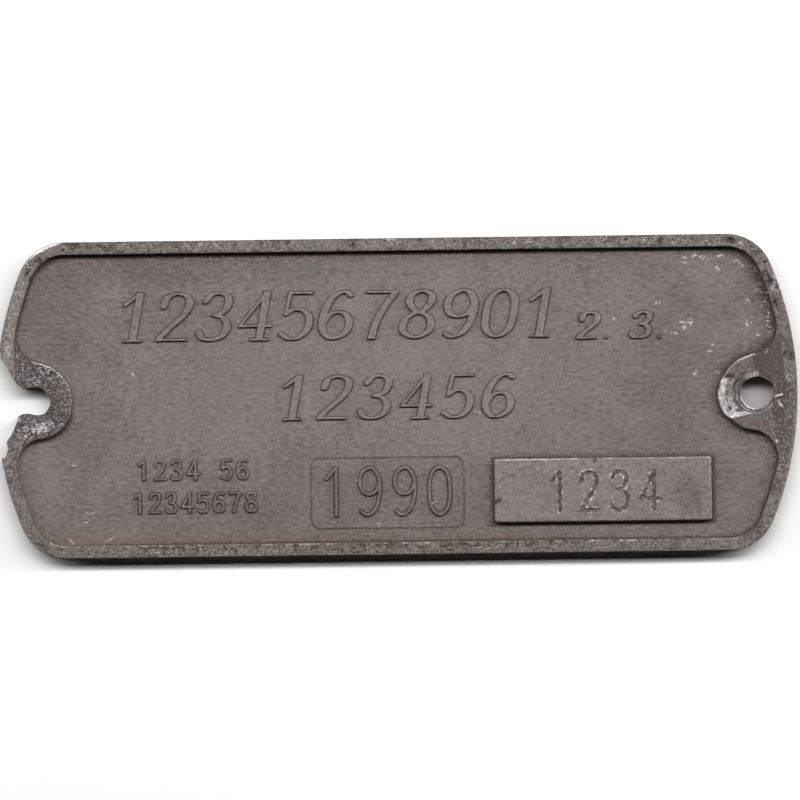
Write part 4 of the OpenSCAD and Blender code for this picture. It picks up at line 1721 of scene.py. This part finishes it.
@dataclass(frozen=True)
class CastFinish:
    """One finish of the worn casting."""

    name: str
    dark: Colour
    light: Colour
    mottle: float = 1.1
    streak: float = 2.6
    grain: float = 0.32
    salt: float = 0.35
    speck: float = 0.15
    pit: float = 0.2
    relief: float = 0.05
    rough: float = 0.62
    sheen_metal: float = 0.0
    glaze: float = 0.2
    specular: float = 0.05
    # Colour of bare metal, and of the painted highlights
    bare: Colour = (186, 182, 180)
    rust: Colour = (114, 94, 82)
    # Colour of grime, and of the painted shade
    grime: Colour = (58, 49, 45)
    bruise: Colour = (78, 65, 63)
    chalk: Colour = (212, 205, 198)
    pale: Colour = (138, 132, 129)
    smooth: Colour = (100, 98, 98)

    def build(self, effects: Effects) -> Material:
        """Makes the material.

        Args:
            effects: The shared node groups.

        Returns:
            The material.
        """
        material = bpy.data.materials.new(self.name)
        s = sketched(material)
        sizes = {"Place": s.place(), "Mottle Size": self.mottle, "Streak": self.streak, "Grain Size": self.grain}
        skin = s.add("ShaderNodeGroup", sizes, node_tree=effects.skin).outputs
        mottle, grain = skin["Mottle"], skin["Grain"]
        masks = {}
        for kind, (ragged, soft) in EDGES.items():
            inputs = {"Strength": s.attribute(kind), "Grain": grain, "Raggedness": ragged, "Softness": soft}
            masks[kind] = s.out("ShaderNodeGroup", inputs, "Mask", node_tree=effects.mark)
        chalk = shade(*self.chalk)
        colour = s.mix(s.level(self.salt, mottle, grain), shade(*self.dark), shade(*self.light))
        colour = s.mix(s.times(skin["Pit"], self.pit), colour, shade(*self.grime))
        # Layers of marks; the grime layer also carries the painted shade
        for kind, share in COVERS:
            colour = s.mix(s.times(masks[kind], share), colour, shade(*getattr(self, kind.value)))
        # Painted glints: bright specks in the chalk colour, more where the glint attribute is high
        sparkle = s.times(skin["Speck"], s.plus(self.speck, s.attribute(Kind.GLINT)), True)
        colour = s.mix(s.times(sparkle, 0.8), colour, chalk)
        # Bare metal and painted highlights, by the bare mask
        dull, bright = shade(*[c * 0.78 for c in self.bare]), shade(*[min(c * 1.18, 250) for c in self.bare])
        colour = s.mix(masks[Kind.BARE_AND_HIGHLIGHT], colour, s.mix(s.level(0.5, grain, mottle), dull, bright))
        colour = s.mix(s.times(masks[Kind.CHALK], 0.85), colour, chalk)
        polished = s.math("MAXIMUM", s.times(masks[Kind.BARE_AND_HIGHLIGHT], 0.8), s.times(masks[Kind.SMOOTH], self.glaze))
        shine = s.times(polished, s.math("SUBTRACT", 1.0, masks[Kind.CHALK], True))
        cast_rough = s.level(grain, self.rough + 0.1, self.rough - 0.1)
        bump = {"Height": skin["Height"], "Distance": self.relief * MM, "Strength": 1.0}
        s.metal({
            "Base Color": colour,
            "Metallic": s.level(shine, self.sheen_metal, 0.5),
            "Roughness": s.level(shine, cast_rough, s.level(mottle, 0.42, 0.26)),
            "Specular IOR Level": self.specular,
            "Normal": s.out("ShaderNodeBump", bump),
        })
        return material


@dataclass(frozen=True)
class GritFinish:
    """The bright metal of the chips."""

    name: str = "bright_grit"
    dark: Colour = (104, 98, 95)
    light: Colour = (190, 186, 182)
    size: float = 0.5

    def build(self) -> Material:
        """Makes the material.

        Returns:
            The material.
        """
        material = bpy.data.materials.new(self.name)
        s = sketched(material)
        pattern = s.noise(s.place(), self.size * MM, 1.0)
        colour = s.mix(s.spread(pattern, 0.35, 0.65), shade(*self.dark), shade(*self.light))
        s.metal({"Base Color": colour, "Metallic": 0.6, "Roughness": s.level(pattern, 0.3, 0.5),
                 "Specular IOR Level": 0.5})
        return material


FIELD = CastFinish("cast_field", (95, 88, 85), (139, 131, 127), mottle=0.75, streak=2.4, grain=0.4, salt=0.3,
                   speck=0.08, pit=0.12)
RIM = CastFinish("worn_rim", (66, 60, 57), (150, 142, 138), mottle=0.95, streak=1.2, grain=0.36, salt=0.65,
                 speck=0.25, pit=0.65, relief=0.08, sheen_metal=0.04)
TORN = CastFinish("torn_lug", (44, 40, 39), (112, 105, 103), mottle=0.6, streak=1.0, grain=0.34, salt=0.7,
                  speck=0.35, pit=0.5, relief=0.12, sheen_metal=0.04)
SCRAPED = CastFinish("scraped_lug", (68, 62, 60), (127, 116, 111), mottle=0.7, streak=1.0, grain=0.36, salt=0.55,
                     speck=0.12, pit=0.45, relief=0.06, sheen_metal=0.04, bare=(182, 178, 176))
PAD = CastFinish("pad_face", (97, 91, 88), (160, 151, 146), mottle=0.9, streak=1.5, grain=0.42, salt=0.55,
                 speck=0.14, pit=0.35, relief=0.07, sheen_metal=0.03)
BACK = CastFinish("cast_back", (76, 71, 69), (122, 115, 112), mottle=1.6, streak=1.2, grain=0.5, salt=0.5,
                  speck=0.2, relief=0.09)
GRIT = GritFinish()


# Pieces


@dataclass
class Maker:
    """What every piece needs: the shared surfaces, the weather and the finishes."""

    outline: Outline
    skin: Skin
    walls: Walls
    weather: Weather
    finishes: dict[str, Material]

    def finish(self, item: Object, finish: CastFinish, nodes: tuple[str, ...] = (),
               extra: dict[Kind, Array] | None = None) -> None:
        """Marks, paints and fixes a piece.

        Args:
            item: The piece.
            finish: Finish of its face.
            nodes: Solids that the piece stands for.
            extra: Marks of the piece's own.
        """
        self.weather.dress(item, extra or {})
        item.data.materials.append(self.finishes[finish.name])
        item.data.materials.append(self.finishes[BACK.name])
        below = np.array([p.normal.z < -0.6 and p.center.z < 0.3 * MM for p in item.data.polygons], int)
        item.data.polygons.foreach_set("material_index", below)
        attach(item, "root")
        if nodes:
            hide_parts(*nodes)
        LOG.info("%s: %d points, %d faces", item.name, len(item.data.vertices), len(item.data.polygons))


@dataclass
class Field:
    """The sunken field inside the rim."""

    maker: Maker
    step: float = 0.56
    clearance: float = 0.62
    tuck: float = 0.2
    sink: float = 0.4

    def area(self, x: Array, y: Array, margin: float = 0.0) -> Array:
        """Says which places lie on the field, at least a margin from its edge."""
        outline = self.maker.outline
        return (outline.inset_of(x, y) > outline.sizes.rim_in + margin) & (outline.lug_gap(x, y) > margin)

    def hang(self, edge: Array, top: Array) -> tuple[Array, Array]:
        """Tucks the edge of the field under the walls around it.

        Args:
            edge: Edge of the field, in order.
            top: Height of each of its points.

        Returns:
            The outset and the height of each point, one row for each ring.
        """
        level = np.stack([top - 0.05, top - self.sink, np.full_like(top, 1.6), self.maker.skin.back(*edge.T)])
        outset = np.full_like(level, -self.tuck)
        outset[0] = 0
        return outset, level

    def build(self) -> Object:
        """Makes the field.

        Returns:
            The piece.
        """
        m, outline = self.maker, self.maker.outline
        edge = outline.sizes.rim_in
        fences = [(outline.ring(edge), True), (outline.ring(edge + 0.3), True)]
        fences += [(outline.lug_ring(grow, side), False) for side in (1, -1) for grow in (0.0, 0.3)]
        clear = partial(self.area, margin=self.clearance)
        fill = fill_near(clear, outline.sizes.box, self.step, 101, m.weather.flecked)
        face = triangulate(fences, fill, self.area)
        return cast(*face, m.skin.field, self.hang, m.skin.back, 1.5).mesh("sunken_field")

    def dress(self, item: Object) -> None:
        """Finishes the field."""
        self.maker.finish(item, FIELD, ("panel",))


@dataclass
class Rim:
    """The raised rim, broken by the tear at the left tip."""

    maker: Maker
    step: float = 0.3

    def area(self, x: Array, y: Array, outer: float = 0.0, inner: float = 0.0) -> Array:
        """Says which places lie on the rim.

        Args:
            x: Places along the plate.
            y: Places across the plate.
            outer: Margin at the outer edge.
            inner: Margin at the inner edge.

        Returns:
            True for each place on the rim.
        """
        outline, s = self.maker.outline, self.maker.outline.sizes
        inset = outline.inset_of(x, y)
        return (inset > s.edge_bevel + outer) & (inset < s.rim_in - inner) & ~outline.torn(x, y)

    def build(self) -> Object:
        """Makes the rim.

        Returns:
            The piece.
        """
        m, outline, s = self.maker, self.maker.outline, self.maker.outline.sizes
        insets = (s.edge_bevel, s.edge_bevel + 0.16, s.rim_in, s.rim_in - 0.14)
        fences = [*((outline.ring(inset), True) for inset in insets), (outline.tear, True)]
        clear = partial(self.area, outer=0.42, inner=0.38)
        face = triangulate(fences, fill_near(clear, s.box, self.step, 111, m.weather.pitted), self.area)
        return cast(*face, m.skin.face, partial(m.walls.hang, is_lug=False), m.skin.back, 1.2).mesh("worn_rim")

    def dress(self, item: Object) -> None:
        """Finishes the rim."""
        self.maker.finish(item, RIM, ("rim",))


@dataclass
class Lug:
    """One of the two fixing lugs."""

    maker: Maker
    side: int
    step: float = 0.18

    def area(self, x: Array, y: Array, margin: float = 0.0, edge: float = 0.0) -> Array:
        """Says which places lie on the lug.

        Args:
            x: Places along the plate.
            y: Places across the plate.
            margin: How far they keep from the rim and from the bore.
            edge: How far they keep from the lug's own edge.

        Returns:
            True for each place on the lug.
        """
        outline, s = self.maker.outline, self.maker.outline.sizes
        lug = (outline.inset_of(x, y) > s.rim_in + margin) & (outline.lug_gap(x, y) < -edge)
        if self.side < 0:
            hole = outline.torn(x, y)
        else:
            hole = outline.in_hole(x, y, s.hole_x, s.bore_r + margin, outline.BORE_SWELL)
        return lug & (x * self.side > 70) & ~hole

    def build(self) -> Object:
        """Makes the lug: the right one round its bore, the left one up to the tear.

        Returns:
            The piece.
        """
        m, outline, s = self.maker, self.maker.outline, self.maker.outline.sizes
        ring = outline.ring(s.rim_in)
        near = ring[(ring[:, 0] * self.side > 84) & (np.abs(ring[:, 1]) < 24)]
        fences = [(near[np.argsort(near[:, 1])], False)]
        fences += [(outline.lug_ring(grow, self.side), False) for grow in (0.0, -0.13)]
        if self.side > 0:
            name, box = "scraped_right_lug", (78, 99, -19, 19)
            fences += [(outline.circle(s.hole_x, s.bore_r, 0.15, outline.BORE_SWELL), True),
                       (outline.circle(s.hole_x - s.seat_shift, s.seat_r, 0.16), True)]
        else:
            name, box = "torn_left_lug", (-99, -78, -19, 19)
            fences += [(outline.tear, True), (outline.circle(-s.hole_x, s.torn_r, 0.18, outline.TORN_SWELL), True)]
        clear = partial(self.area, margin=0.1, edge=0.22)
        face = triangulate(fences, fill_near(clear, box, self.step, 121), self.area)
        return cast(*face, m.skin.face, partial(m.walls.hang, is_lug=True), m.skin.back, 1.0).mesh(name)

    def dress(self, item: Object) -> None:
        """Finishes the lug, whose torn ends have the rim's finish.

        Args:
            item: The piece.
        """
        if self.side > 0:
            self.maker.finish(item, SCRAPED, ("right_lug",))
            return
        self.maker.finish(item, TORN, ("left_lug",))
        item.data.materials.append(self.maker.finishes[RIM.name])
        kinds = np.array([p.material_index for p in item.data.polygons])
        x, y, z = (np.array([p.center for p in item.data.polygons]) / MM).T
        wave = ripple(x, y, 0.7, 127)
        smoother = ((x < -93.3 + 0.3 * wave) & (y < -8.8)) | ((x < -95.2 + 0.2 * wave) & (y > 0))
        kinds[smoother & (z > 3.0)] = 2
        item.data.polygons.foreach_set("material_index", kinds)


@dataclass
class NumberPad:
    """The flat block that takes punched numbers."""

    maker: Maker
    top: float = 4.76
    highest: float = 4.799
    foot: float = 2.75
    lean: float = 0.1
    step: float = 0.18
    levels: tuple[float, ...] = (4.6, 4.4, 4.0, 3.6, 3.2, 3.0)
    nicks: tuple[Blow, ...] = (Blow(24.6, -26.6, 1.2, 0.35, 20, 0.3), Blow(49.1, -16.3, 0.3, 0.9, -30, 0.3),
                               Blow(27.0, -20.6, 1.9, 0.22, 38, 0.06), Blow(71.0, -31.6, 1.4, 0.3, 30, 0.08))

    def ring(self, inset: float) -> Array:
        """Draws the edge of the pad's face.

        Args:
            inset: How far it is drawn in.

        Returns:
            Points, one per row.
        """
        box = PAD_BOX
        a, b, r = box.length / 2 - box.corner, box.width / 2 - box.corner, box.corner - inset
        rows = []
        for k, (sx, sy) in enumerate(((1, 1), (-1, 1), (-1, -1), (1, -1))):
            angle = np.linspace(0, math.pi / 2, 6) + k * math.pi / 2
            rows.append(np.stack([sx * a + r * np.cos(angle), sy * b + r * np.sin(angle)], 1))
        corners = np.concatenate(rows)
        line = []
        for p, q in zip(corners, np.roll(corners, -1, 0)):
            count = max(1, round(float(np.linalg.norm(q - p)) / 0.22))
            line.append(p + (q - p) * np.arange(count)[:, None] / count)
        return np.concatenate(line) + [box.x, box.y]

    def area(self, x: Array, y: Array, margin: float = 0.0) -> Array:
        """Says which places lie on the pad, at least a margin from its edge."""
        return -PAD_BOX.gap(x, y) > margin

    def height(self, x: Array, y: Array) -> Array:
        """Gives the height of the pad's face, with its dull edges, knocks and punched figures.

        Args:
            x: Places along the plate.
            y: Places across the plate.

        Returns:
            One height for each place.
        """
        height = self.top + 0.014 * cloud(x, y, 7, 131) + 0.02 * cloud(x, y, 1.1, 133)
        height = height + 0.012 * ripple(x, y, 0.4, 135)
        height = height - (0.1 + 0.05 * ripple(x, y, 1.7, 137)) * np.exp(PAD_BOX.gap(x, y) / 0.16)
        gap = rows_gap(PUNCH_ROWS, x, y) + 0.16 * ripple(x, y, 0.55, 139) + 0.08 * ripple(x, y, 0.3, 141)
        height = height - 0.28 * ease(gap, 0.10, -0.25) + 0.09 * band(gap, 0.26, 0.18) * ripple(x, y, 0.7, 142)
        return np.minimum(height - sum(nick.at(x, y) for nick in self.nicks), self.highest)

    def hang(self, edge: Array, top: Array) -> tuple[Array, Array]:
        """Works out the rings of points below the edge of the pad's face.

        Args:
            edge: Edge of the face, in order.
            top: Height of each of its points.

        Returns:
            The outset and the height of each point, one row for each ring.
        """
        rings = [np.minimum(z, top - 0.02 * k) for k, z in enumerate(self.levels, 1)]
        level = np.stack([*rings, np.full_like(top, self.foot)])
        rough = np.stack([0.04 * cloud(edge[:, 0] + z * 3, edge[:, 1], 1.3, 145) for z in level.mean(1)])
        return (4.8 - level) * self.lean + rough * 0.7 + 0.12 * fade(level - 3.0, 0.2), level

    def under(self, x: Array, y: Array) -> Array:
        """Gives the height of the pad's foot, which is sunk into the field."""
        return np.full_like(x, self.foot)

    def build(self) -> Object:
        """Makes the pad.

        Returns:
            The piece.
        """
        fill = fill_near(partial(self.area, margin=0.24), PAD_BOX.limits(), self.step, 143)
        face = triangulate([(self.ring(0), True), (self.ring(0.12), True)], fill, self.area)
        return cast(*face, self.height, self.hang, self.under, None).mesh("punched_pad")

    def dress(self, item: Object) -> None:
        """Finishes the pad: dirt and bright crumbs in its figures, painted highlights on its edges, painted shade
        below.

        Args:
            item: The piece.
        """
        x, y, z = (spots_of(item.data).astype(float) / MM).T
        gap, far = rows_gap(PUNCH_ROWS, x, y), -PAD_BOX.gap(x, y)
        uneven = 0.6 + 0.5 * ripple(x, y, 0.8, 147)
        top = ease(z, 4.3, 4.6)
        # Painted highlights along the upper and right edges, the upper one with a tan tint
        upper = band(far, 0.05, 0.22) * ease(y, PAD_BOX.y + 7.2, PAD_BOX.y + 7.6) * top
        right = band(far, 0.1, 0.22) * ease(x, PAD_BOX.x + 26, PAD_BOX.x + 26.6) * top
        broken = 0.55 + 0.5 * ripple(x, y, 2.2, 149)
        patchy = ease(ripple(x, y, 0.5, 148), -0.5, 0.3)
        # Painted shade along the lower edge and on the sides of the pad
        lower = band(far, 0, 0.2) * ease(y, PAD_BOX.y - 7.2, PAD_BOX.y - 7.6) + 0.6 * ease(z, 4.55, 4.3)
        bits = band(gap, 0.28, 0.15) * ease(ripple(x, y, 0.45, 150), 0.1, 0.6)
        # Dirt in and round the punched figures, plus the painted shade along the lower edge and sides
        grime = 0.4 * ease(gap, 0.15, -0.1) * patchy + 0.9 * band(gap, 0, 0.15) * patchy + lower
        marks = {Kind.GRIME_AND_SHADE: grime, Kind.RUST: 1.5 * ease(gap, 0.6, 0.1) * uneven + 0.8 * upper,
                 Kind.BARE_AND_HIGHLIGHT: (0.75 * upper + 0.45 * right) * broken + 1.0 * bits}
        self.maker.finish(item, PAD, ("number_pad",), marks)


@dataclass
class Relief:
    """Raised work on the field: a group of figures, or the frame round the date."""

    maker: Maker
    name: str
    gap: Shape
    boxes: list[Box]
    rise: float
    step: float
    soft: float = 0.26
    toe: float = 0.05
    reach: float = 0.72
    # Strength and place of the dark band along the work: grime and painted shade
    dirt_and_shade: float = 1.0
    dirt_and_shade_at: float = 0.12
    shine: float = 1.0

    def area(self, x: Array, y: Array, margin: float = 0.0) -> Array:
        """Says which places lie on the raised work, its foot or a margin round that."""
        return self.gap(x, y) < self.reach + margin

    def height(self, x: Array, y: Array) -> Array:
        """Gives the height of the raised work, which sinks into the field at its foot.

        Args:
            x: Places along the plate.
            y: Places across the plate.

        Returns:
            One height for each place.
        """
        gap = self.gap(x, y) + 0.05 * ripple(x, y, 0.9, 153)
        body = ease(gap, 0.14, 0.14 - self.soft) * self.rise * (1 + 0.12 * ripple(x, y, 1.6, 155))
        return self.maker.skin.field(x, y) + body + 0.015 - self.toe * ease(gap, 0.3, self.reach)

    @staticmethod
    def hang(_edge: Array, top: Array) -> tuple[Array, Array]:
        """Drops one short wall from the edge."""
        return np.zeros((1, len(top))), (top - 0.1)[None]

    def under(self, x: Array, y: Array) -> Array:
        """Gives the height of the hidden underside."""
        return self.maker.skin.field(x, y) - 0.2

    def build(self) -> Object:
        """Makes the raised work.

        Returns:
            The piece.
        """
        near = partial(self.area, margin=self.step)
        fill = np.concatenate([fill_near(near, box, self.step, 151) for box in self.boxes])
        return cast(*triangulate([], fill, self.area), self.height, self.hang, self.under, None).mesh(self.name)

    def dress(self, item: Object) -> None:
        """Finishes the raised work like the field, with grime and painted shade along its foot and a rubbed brow.

        Args:
            item: The piece.
        """
        x, y, _ = (spots_of(item.data).astype(float) / MM).T
        gap = self.gap(x, y)
        # Dark band along the foot, with a rust tint: grime and painted shade
        foot = self.dirt_and_shade * band(gap, self.dirt_and_shade_at, 0.2) * (0.85 + 0.4 * cloud(x, y, 3.0, 157, 2))
        brow = band(gap, -0.18, 0.14) * (0.7 + 0.5 * ripple(x, y, 1.2, 159)) * self.shine
        marks = {Kind.GRIME_AND_SHADE: foot, Kind.PALE: brow + 0.35 * ease(gap, -0.1, -0.3) * self.shine,
                 Kind.BARE_AND_HIGHLIGHT: 0.2 * brow, Kind.RUST: 0.6 * foot}
        self.maker.finish(item, FIELD, (), marks)


@dataclass
class DateFrame:
    """The fine line round the date."""

    maker: Maker
    line: float = 0.6

    def gap(self, x: Array, y: Array) -> Array:
        """Measures how far places lie outside the line, with a minus sign on it."""
        return np.abs(DATE_BOX.gap(x, y) + self.line / 2) - self.line / 2

    def relief(self) -> Relief:
        """Gives the raised work that the frame is."""
        return Relief(self.maker, "date_frame", self.gap, [DATE_BOX.limits(1.0)], 0.2, 0.16, soft=0.4, dirt_and_shade=0.62,
                      dirt_and_shade_at=-0.22, shine=0.0)


@dataclass
class Grit:
    """Bright chips bedded in the worn metal of one piece."""

    maker: Maker
    host: Object
    slot: str
    per_mm2: float
    size: float = 0.1
    seed: int = 7

    @staticmethod
    def _tree(material: Material) -> NodeTree:
        """Builds the tree that strews the chips.

        Args:
            material: Finish of the chips.

        Returns:
            The tree.
        """
        inputs = {"Geometry": GEOMETRY, "Chips per Square Metre": FLOAT, "Chip Size": FLOAT, "Seed": "NodeSocketInt"}
        s, start, end = new_group("strewn_chips", inputs, {"Geometry": GEOMETRY}, "GeometryNodeTree")
        glint = {"Name": Kind.GLINT.value}
        mask = s.out("GeometryNodeInputNamedAttribute", glint, "Attribute", data_type="FLOAT")
        normal = s.out("ShaderNodeSeparateXYZ", {0: s.out("GeometryNodeInputNormal", {})}, 2)
        up = s.math("GREATER_THAN", normal, 0.6)
        density = s.times(s.times(mask, up), start.outputs["Chips per Square Metre"])
        spread = {"Mesh": start.outputs["Geometry"], "Density": density, "Seed": start.outputs["Seed"]}
        strewn = s.out("GeometryNodeDistributePointsOnFaces", spread, "Points")
        sphere = {"Radius": start.outputs["Chip Size"], "Subdivisions": 1}
        chip = s.out("GeometryNodeMeshIcoSphere", sphere, "Mesh")
        turn, grow = (s.out("FunctionNodeRandomValue", {0: low, 1: high}, data_type="FLOAT_VECTOR") for low, high in (
            ((-0.5, -0.5, 0.0), (0.5, 0.5, 6.28)), ((0.3, 0.25, 0.2), (1.8, 0.9, 0.45))))
        strewing = {"Points": strewn, "Instance": chip, "Rotation": turn, "Scale": grow}
        chips = s.out("GeometryNodeInstanceOnPoints", strewing)
        real = s.out("GeometryNodeRealizeInstances", {"Geometry": chips})
        painted = s.add("GeometryNodeSetMaterial", {"Geometry": real})
        painted.inputs["Material"].default_value = material
        s.feed(end.inputs[0], painted.outputs[0])
        return s.tree

    def build(self) -> Object:
        """Strews the chips over the piece and makes them one plain mesh.

        Returns:
            The piece.
        """
        tree = self._tree(self.maker.finishes[GRIT.name])
        modifier = self.host.modifiers.new("chips", "NODES")
        modifier.node_group = tree
        values = {"Chips per Square Metre": self.per_mm2 / MM**2, "Chip Size": self.size * MM, "Seed": self.seed}
        for item in tree.interface.items_tree:
            if item.in_out == "INPUT" and item.name in values:
                modifier[item.identifier] = values[item.name]
        graph = bpy.context.evaluated_depsgraph_get()
        data = bpy.data.meshes.new_from_object(self.host.evaluated_get(graph), preserve_all_data_layers=False,
                                               depsgraph=graph)
        self.host.modifiers.remove(modifier)
        spots = spots_of(data)
        spots[:, 2] = np.minimum(spots[:, 2], self.maker.outline.sizes.face_z * MM)
        data.vertices.foreach_set("co", spots.ravel())
        return placed(bpy.data.objects.new(f"{self.host.name}_chips", data))

    def dress(self, item: Object) -> None:
        """Fixes the chips to the plate.

        Args:
            item: The piece.
        """
        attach(item, "root")
        LOG.info("%s: %d chips", item.name, len(item.data.vertices) // 12)


# Studio


@dataclass
class Studio:
    """Camera, lamps, floor and surroundings, in metres.

    The light copies a flatbed scan: an arch of lamps and a tube throw short, hard-edged shadows
    away from the upper edge, and the floor turns plain white a little way off.
    """

    centre: Place = (0.00081, -0.00093)
    view_width: float = 0.1995
    eye: float = 2.0
    face_z: float = 0.005
    sensor: float = 36.0
    turn: float = -0.745
    lamp_power: float = 6.0
    tube_power: float = 20.0
    fill_power: float = 0.8
    back_power: float = 30.0
    ambient: float = 0.001
    cast: float = 0.541
    lift: float = 0.841
    half_floor: float = 2.5
    floor_z: float = -0.00002
    # Direction in degrees and share of the power of each lamp in the arch
    ARCH = ((-66, 1.2), (-44, 0.9), (-22, 0.9), (0, 1.0), (22, 1.0), (44, 1.3), (66, 2.0))
    # Middle of the right hole, where the floor seen through the bore is painted grey as shade
    BORE = (0.09, 0.0, 0.0)

    def camera(self) -> None:
        """Looks straight down on the face."""
        data = bpy.data.cameras.new("copy_stand")
        data.sensor_width = self.sensor
        data.lens = self.sensor * (self.eye - self.face_z) / self.view_width
        data.clip_start, data.clip_end = 0.1, 10.0
        item = placed(bpy.data.objects.new("copy_stand", data))
        item.location = (*self.centre, self.eye)
        item.rotation_euler = (0.0, 0.0, math.radians(self.turn))
        bpy.context.scene.camera = item

    @staticmethod
    def lamp(name: str, place: tuple[float, float, float], size: Place, power: float,
             along: tuple[float, float, float] = (1.0, 0.0, 0.0)) -> Object:
        """Hangs a soft lamp that faces the plate.

        Args:
            name: Name of the lamp.
            place: Where it hangs.
            size: Its length and width.
            power: Its power.
            along: Direction of its long side.

        Returns:
            The lamp.
        """
        data = bpy.data.lights.new(name, "AREA")
        data.shape, data.size, data.size_y, data.energy = "RECTANGLE", size[0], size[1], power
        item = placed(bpy.data.objects.new(name, data))
        item.location = place
        out = Vector(place).normalized()
        side = out.cross(Vector(along)).normalized()
        item.rotation_mode = "QUATERNION"
        item.rotation_quaternion = Matrix((side.cross(out), side, out)).transposed().to_quaternion()
        item.visible_camera = False
        return item

    def lamps(self, pieces: list[Object]) -> None:
        """Hangs an arch and a tube above the upper edge, a weak fill below the lower one, and one for the back.

        Args:
            pieces: What the weak fill lights, so that it leaves the shadows on the floor alone.
        """
        for number, (degrees, share) in enumerate(self.ARCH, 1):
            c, s = math.cos(math.radians(degrees)), math.sin(math.radians(degrees))
            place, along = (2 * s, 2 * self.cast * c, 2 * self.lift * c), (c, -self.cast * s, -self.lift * s)
            self.lamp(f"arch_{number}", place, (0.78, 0.18), self.lamp_power * share, along)
        self.lamp("tube", (0.0, 0.86, 1.805), (2.8, 0.38), self.tube_power)
        receivers = bpy.data.collections.new("lit_by_fill")
        for piece in pieces:
            receivers.objects.link(piece)
        fill = self.lamp("fill", (0.0, -1.95, 0.42), (1.6, 0.5), self.fill_power)
        fill.light_linking.receiver_collection = receivers
        self.lamp("under_fill", (0.3, -0.6, -1.5), (1.5, 1.5), self.back_power)

    def floor(self) -> None:
        """Lays a sheet that turns into plain white away from the plate, has painted shade under the right hole, and is
        open from below.
        """
        data = bpy.data.meshes.new("white_sheet")
        half, corners = self.half_floor, ((-1, -1), (1, -1), (1, 1), (-1, 1))
        data.from_pydata([(x * half, y * half, self.floor_z) for x, y in corners], [], [(0, 1, 2, 3)])
        material = bpy.data.materials.new("white_sheet")
        s = sketched(material)
        path, place = s.add("ShaderNodeLightPath", {}), s.place()
        to_bore = s.vector("DISTANCE", {0: place, 1: self.BORE}, "Value")
        # Painted shade: the floor seen through the right hole is grey
        white_with_bore_shade = s.mix(s.spread(to_bore, 0.0044, 0.005), (0.47, 0.44, 0.43, 1), WHITE)
        base = s.mix(path.outputs["Is Camera Ray"], (0.12, 0.12, 0.12, 1), white_with_bore_shade)
        away = s.spread(s.vector("LENGTH", {0: place}, "Value"), 0.13, 0.2)
        paper = s.out("ShaderNodeBsdfDiffuse", {"Color": base})
        glow = s.out("ShaderNodeEmission", {"Color": WHITE, "Strength": 1.0})
        top = s.out("ShaderNodeMixShader", {0: s.times(s.seen(path), away), 1: paper, 2: glow})
        below = s.times(path.outputs["Is Camera Ray"], s.out("ShaderNodeNewGeometry", {}, "Backfacing"))
        beside = s.times(path.outputs["Is Shadow Ray"], s.math("LESS_THAN", path.outputs["Ray Length"], 0.0002))
        clear = s.out("ShaderNodeBsdfTransparent", {})
        surface = s.out("ShaderNodeMixShader", {0: s.math("MAXIMUM", below, beside), 1: top, 2: clear})
        s.add("ShaderNodeOutputMaterial", {"Surface": surface})
        data.materials.append(material)
        placed(bpy.data.objects.new("white_sheet", data))

    def surroundings(self) -> None:
        """Makes the surroundings white to look at, and dim as a source of light."""
        bpy.context.scene.world = bpy.data.worlds.new("plain_white")
        s = sketched(bpy.context.scene.world)
        strength = s.level(s.seen(s.add("ShaderNodeLightPath", {})), self.ambient, 1.0)
        sky = s.out("ShaderNodeBackground", {"Color": WHITE, "Strength": strength})
        s.add("ShaderNodeOutputWorld", {"Surface": sky})


def main() -> None:
    """Builds the plate, piece by piece, and the studio round it."""
    logging.basicConfig(level=logging.INFO, format="%(message)s")
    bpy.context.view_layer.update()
    outline = Outline(PlateSizes())
    skin = Skin(outline)
    effects = Effects()
    finishes = {finish.name: finish.build(effects) for finish in (FIELD, RIM, TORN, SCRAPED, PAD, BACK)}
    finishes[GRIT.name] = GRIT.build()
    maker = Maker(outline, skin, Walls(skin), Weather(skin), finishes)
    parts = [Field(maker), Rim(maker), Lug(maker, 1), Lug(maker, -1), NumberPad(maker), DateFrame(maker).relief()]
    for name, rows, rise, step, dirt_and_shade, shine in (
            ("upper_figures", UPPER_ROWS, 0.8, 0.18, 1.05, 1.2), ("middle_figures", MIDDLE_ROWS, 0.78, 0.18, 1.05, 1.0),
            ("small_figures", SMALL_ROWS, 0.5, 0.15, 1.1, 0.3), ("date_figures", DATE_ROWS, 0.6, 0.15, 1.2, 0.5)):
        boxes = [row.box for row in rows]
        parts.append(Relief(maker, name, partial(rows_gap, rows), boxes, rise, step, dirt_and_shade=dirt_and_shade, shine=shine))
    pieces = []
    for part in parts:
        pieces.append(part.build())
        part.dress(pieces[-1])
    for host, (slot, density) in zip(pieces[1:4], (("worn_rim", 1.3), ("scraped_lug", 1.0), ("torn_lug", 2.4))):
        grit = Grit(maker, host, slot, density)
        pieces.append(grit.build())
        grit.dress(pieces[-1])
    studio = Studio()
    studio.camera()
    studio.lamps(pieces)
    studio.floor()
    studio.surroundings()
    bpy.context.scene.view_settings.view_transform = "Standard"


if __name__ == "__main__":
    main()
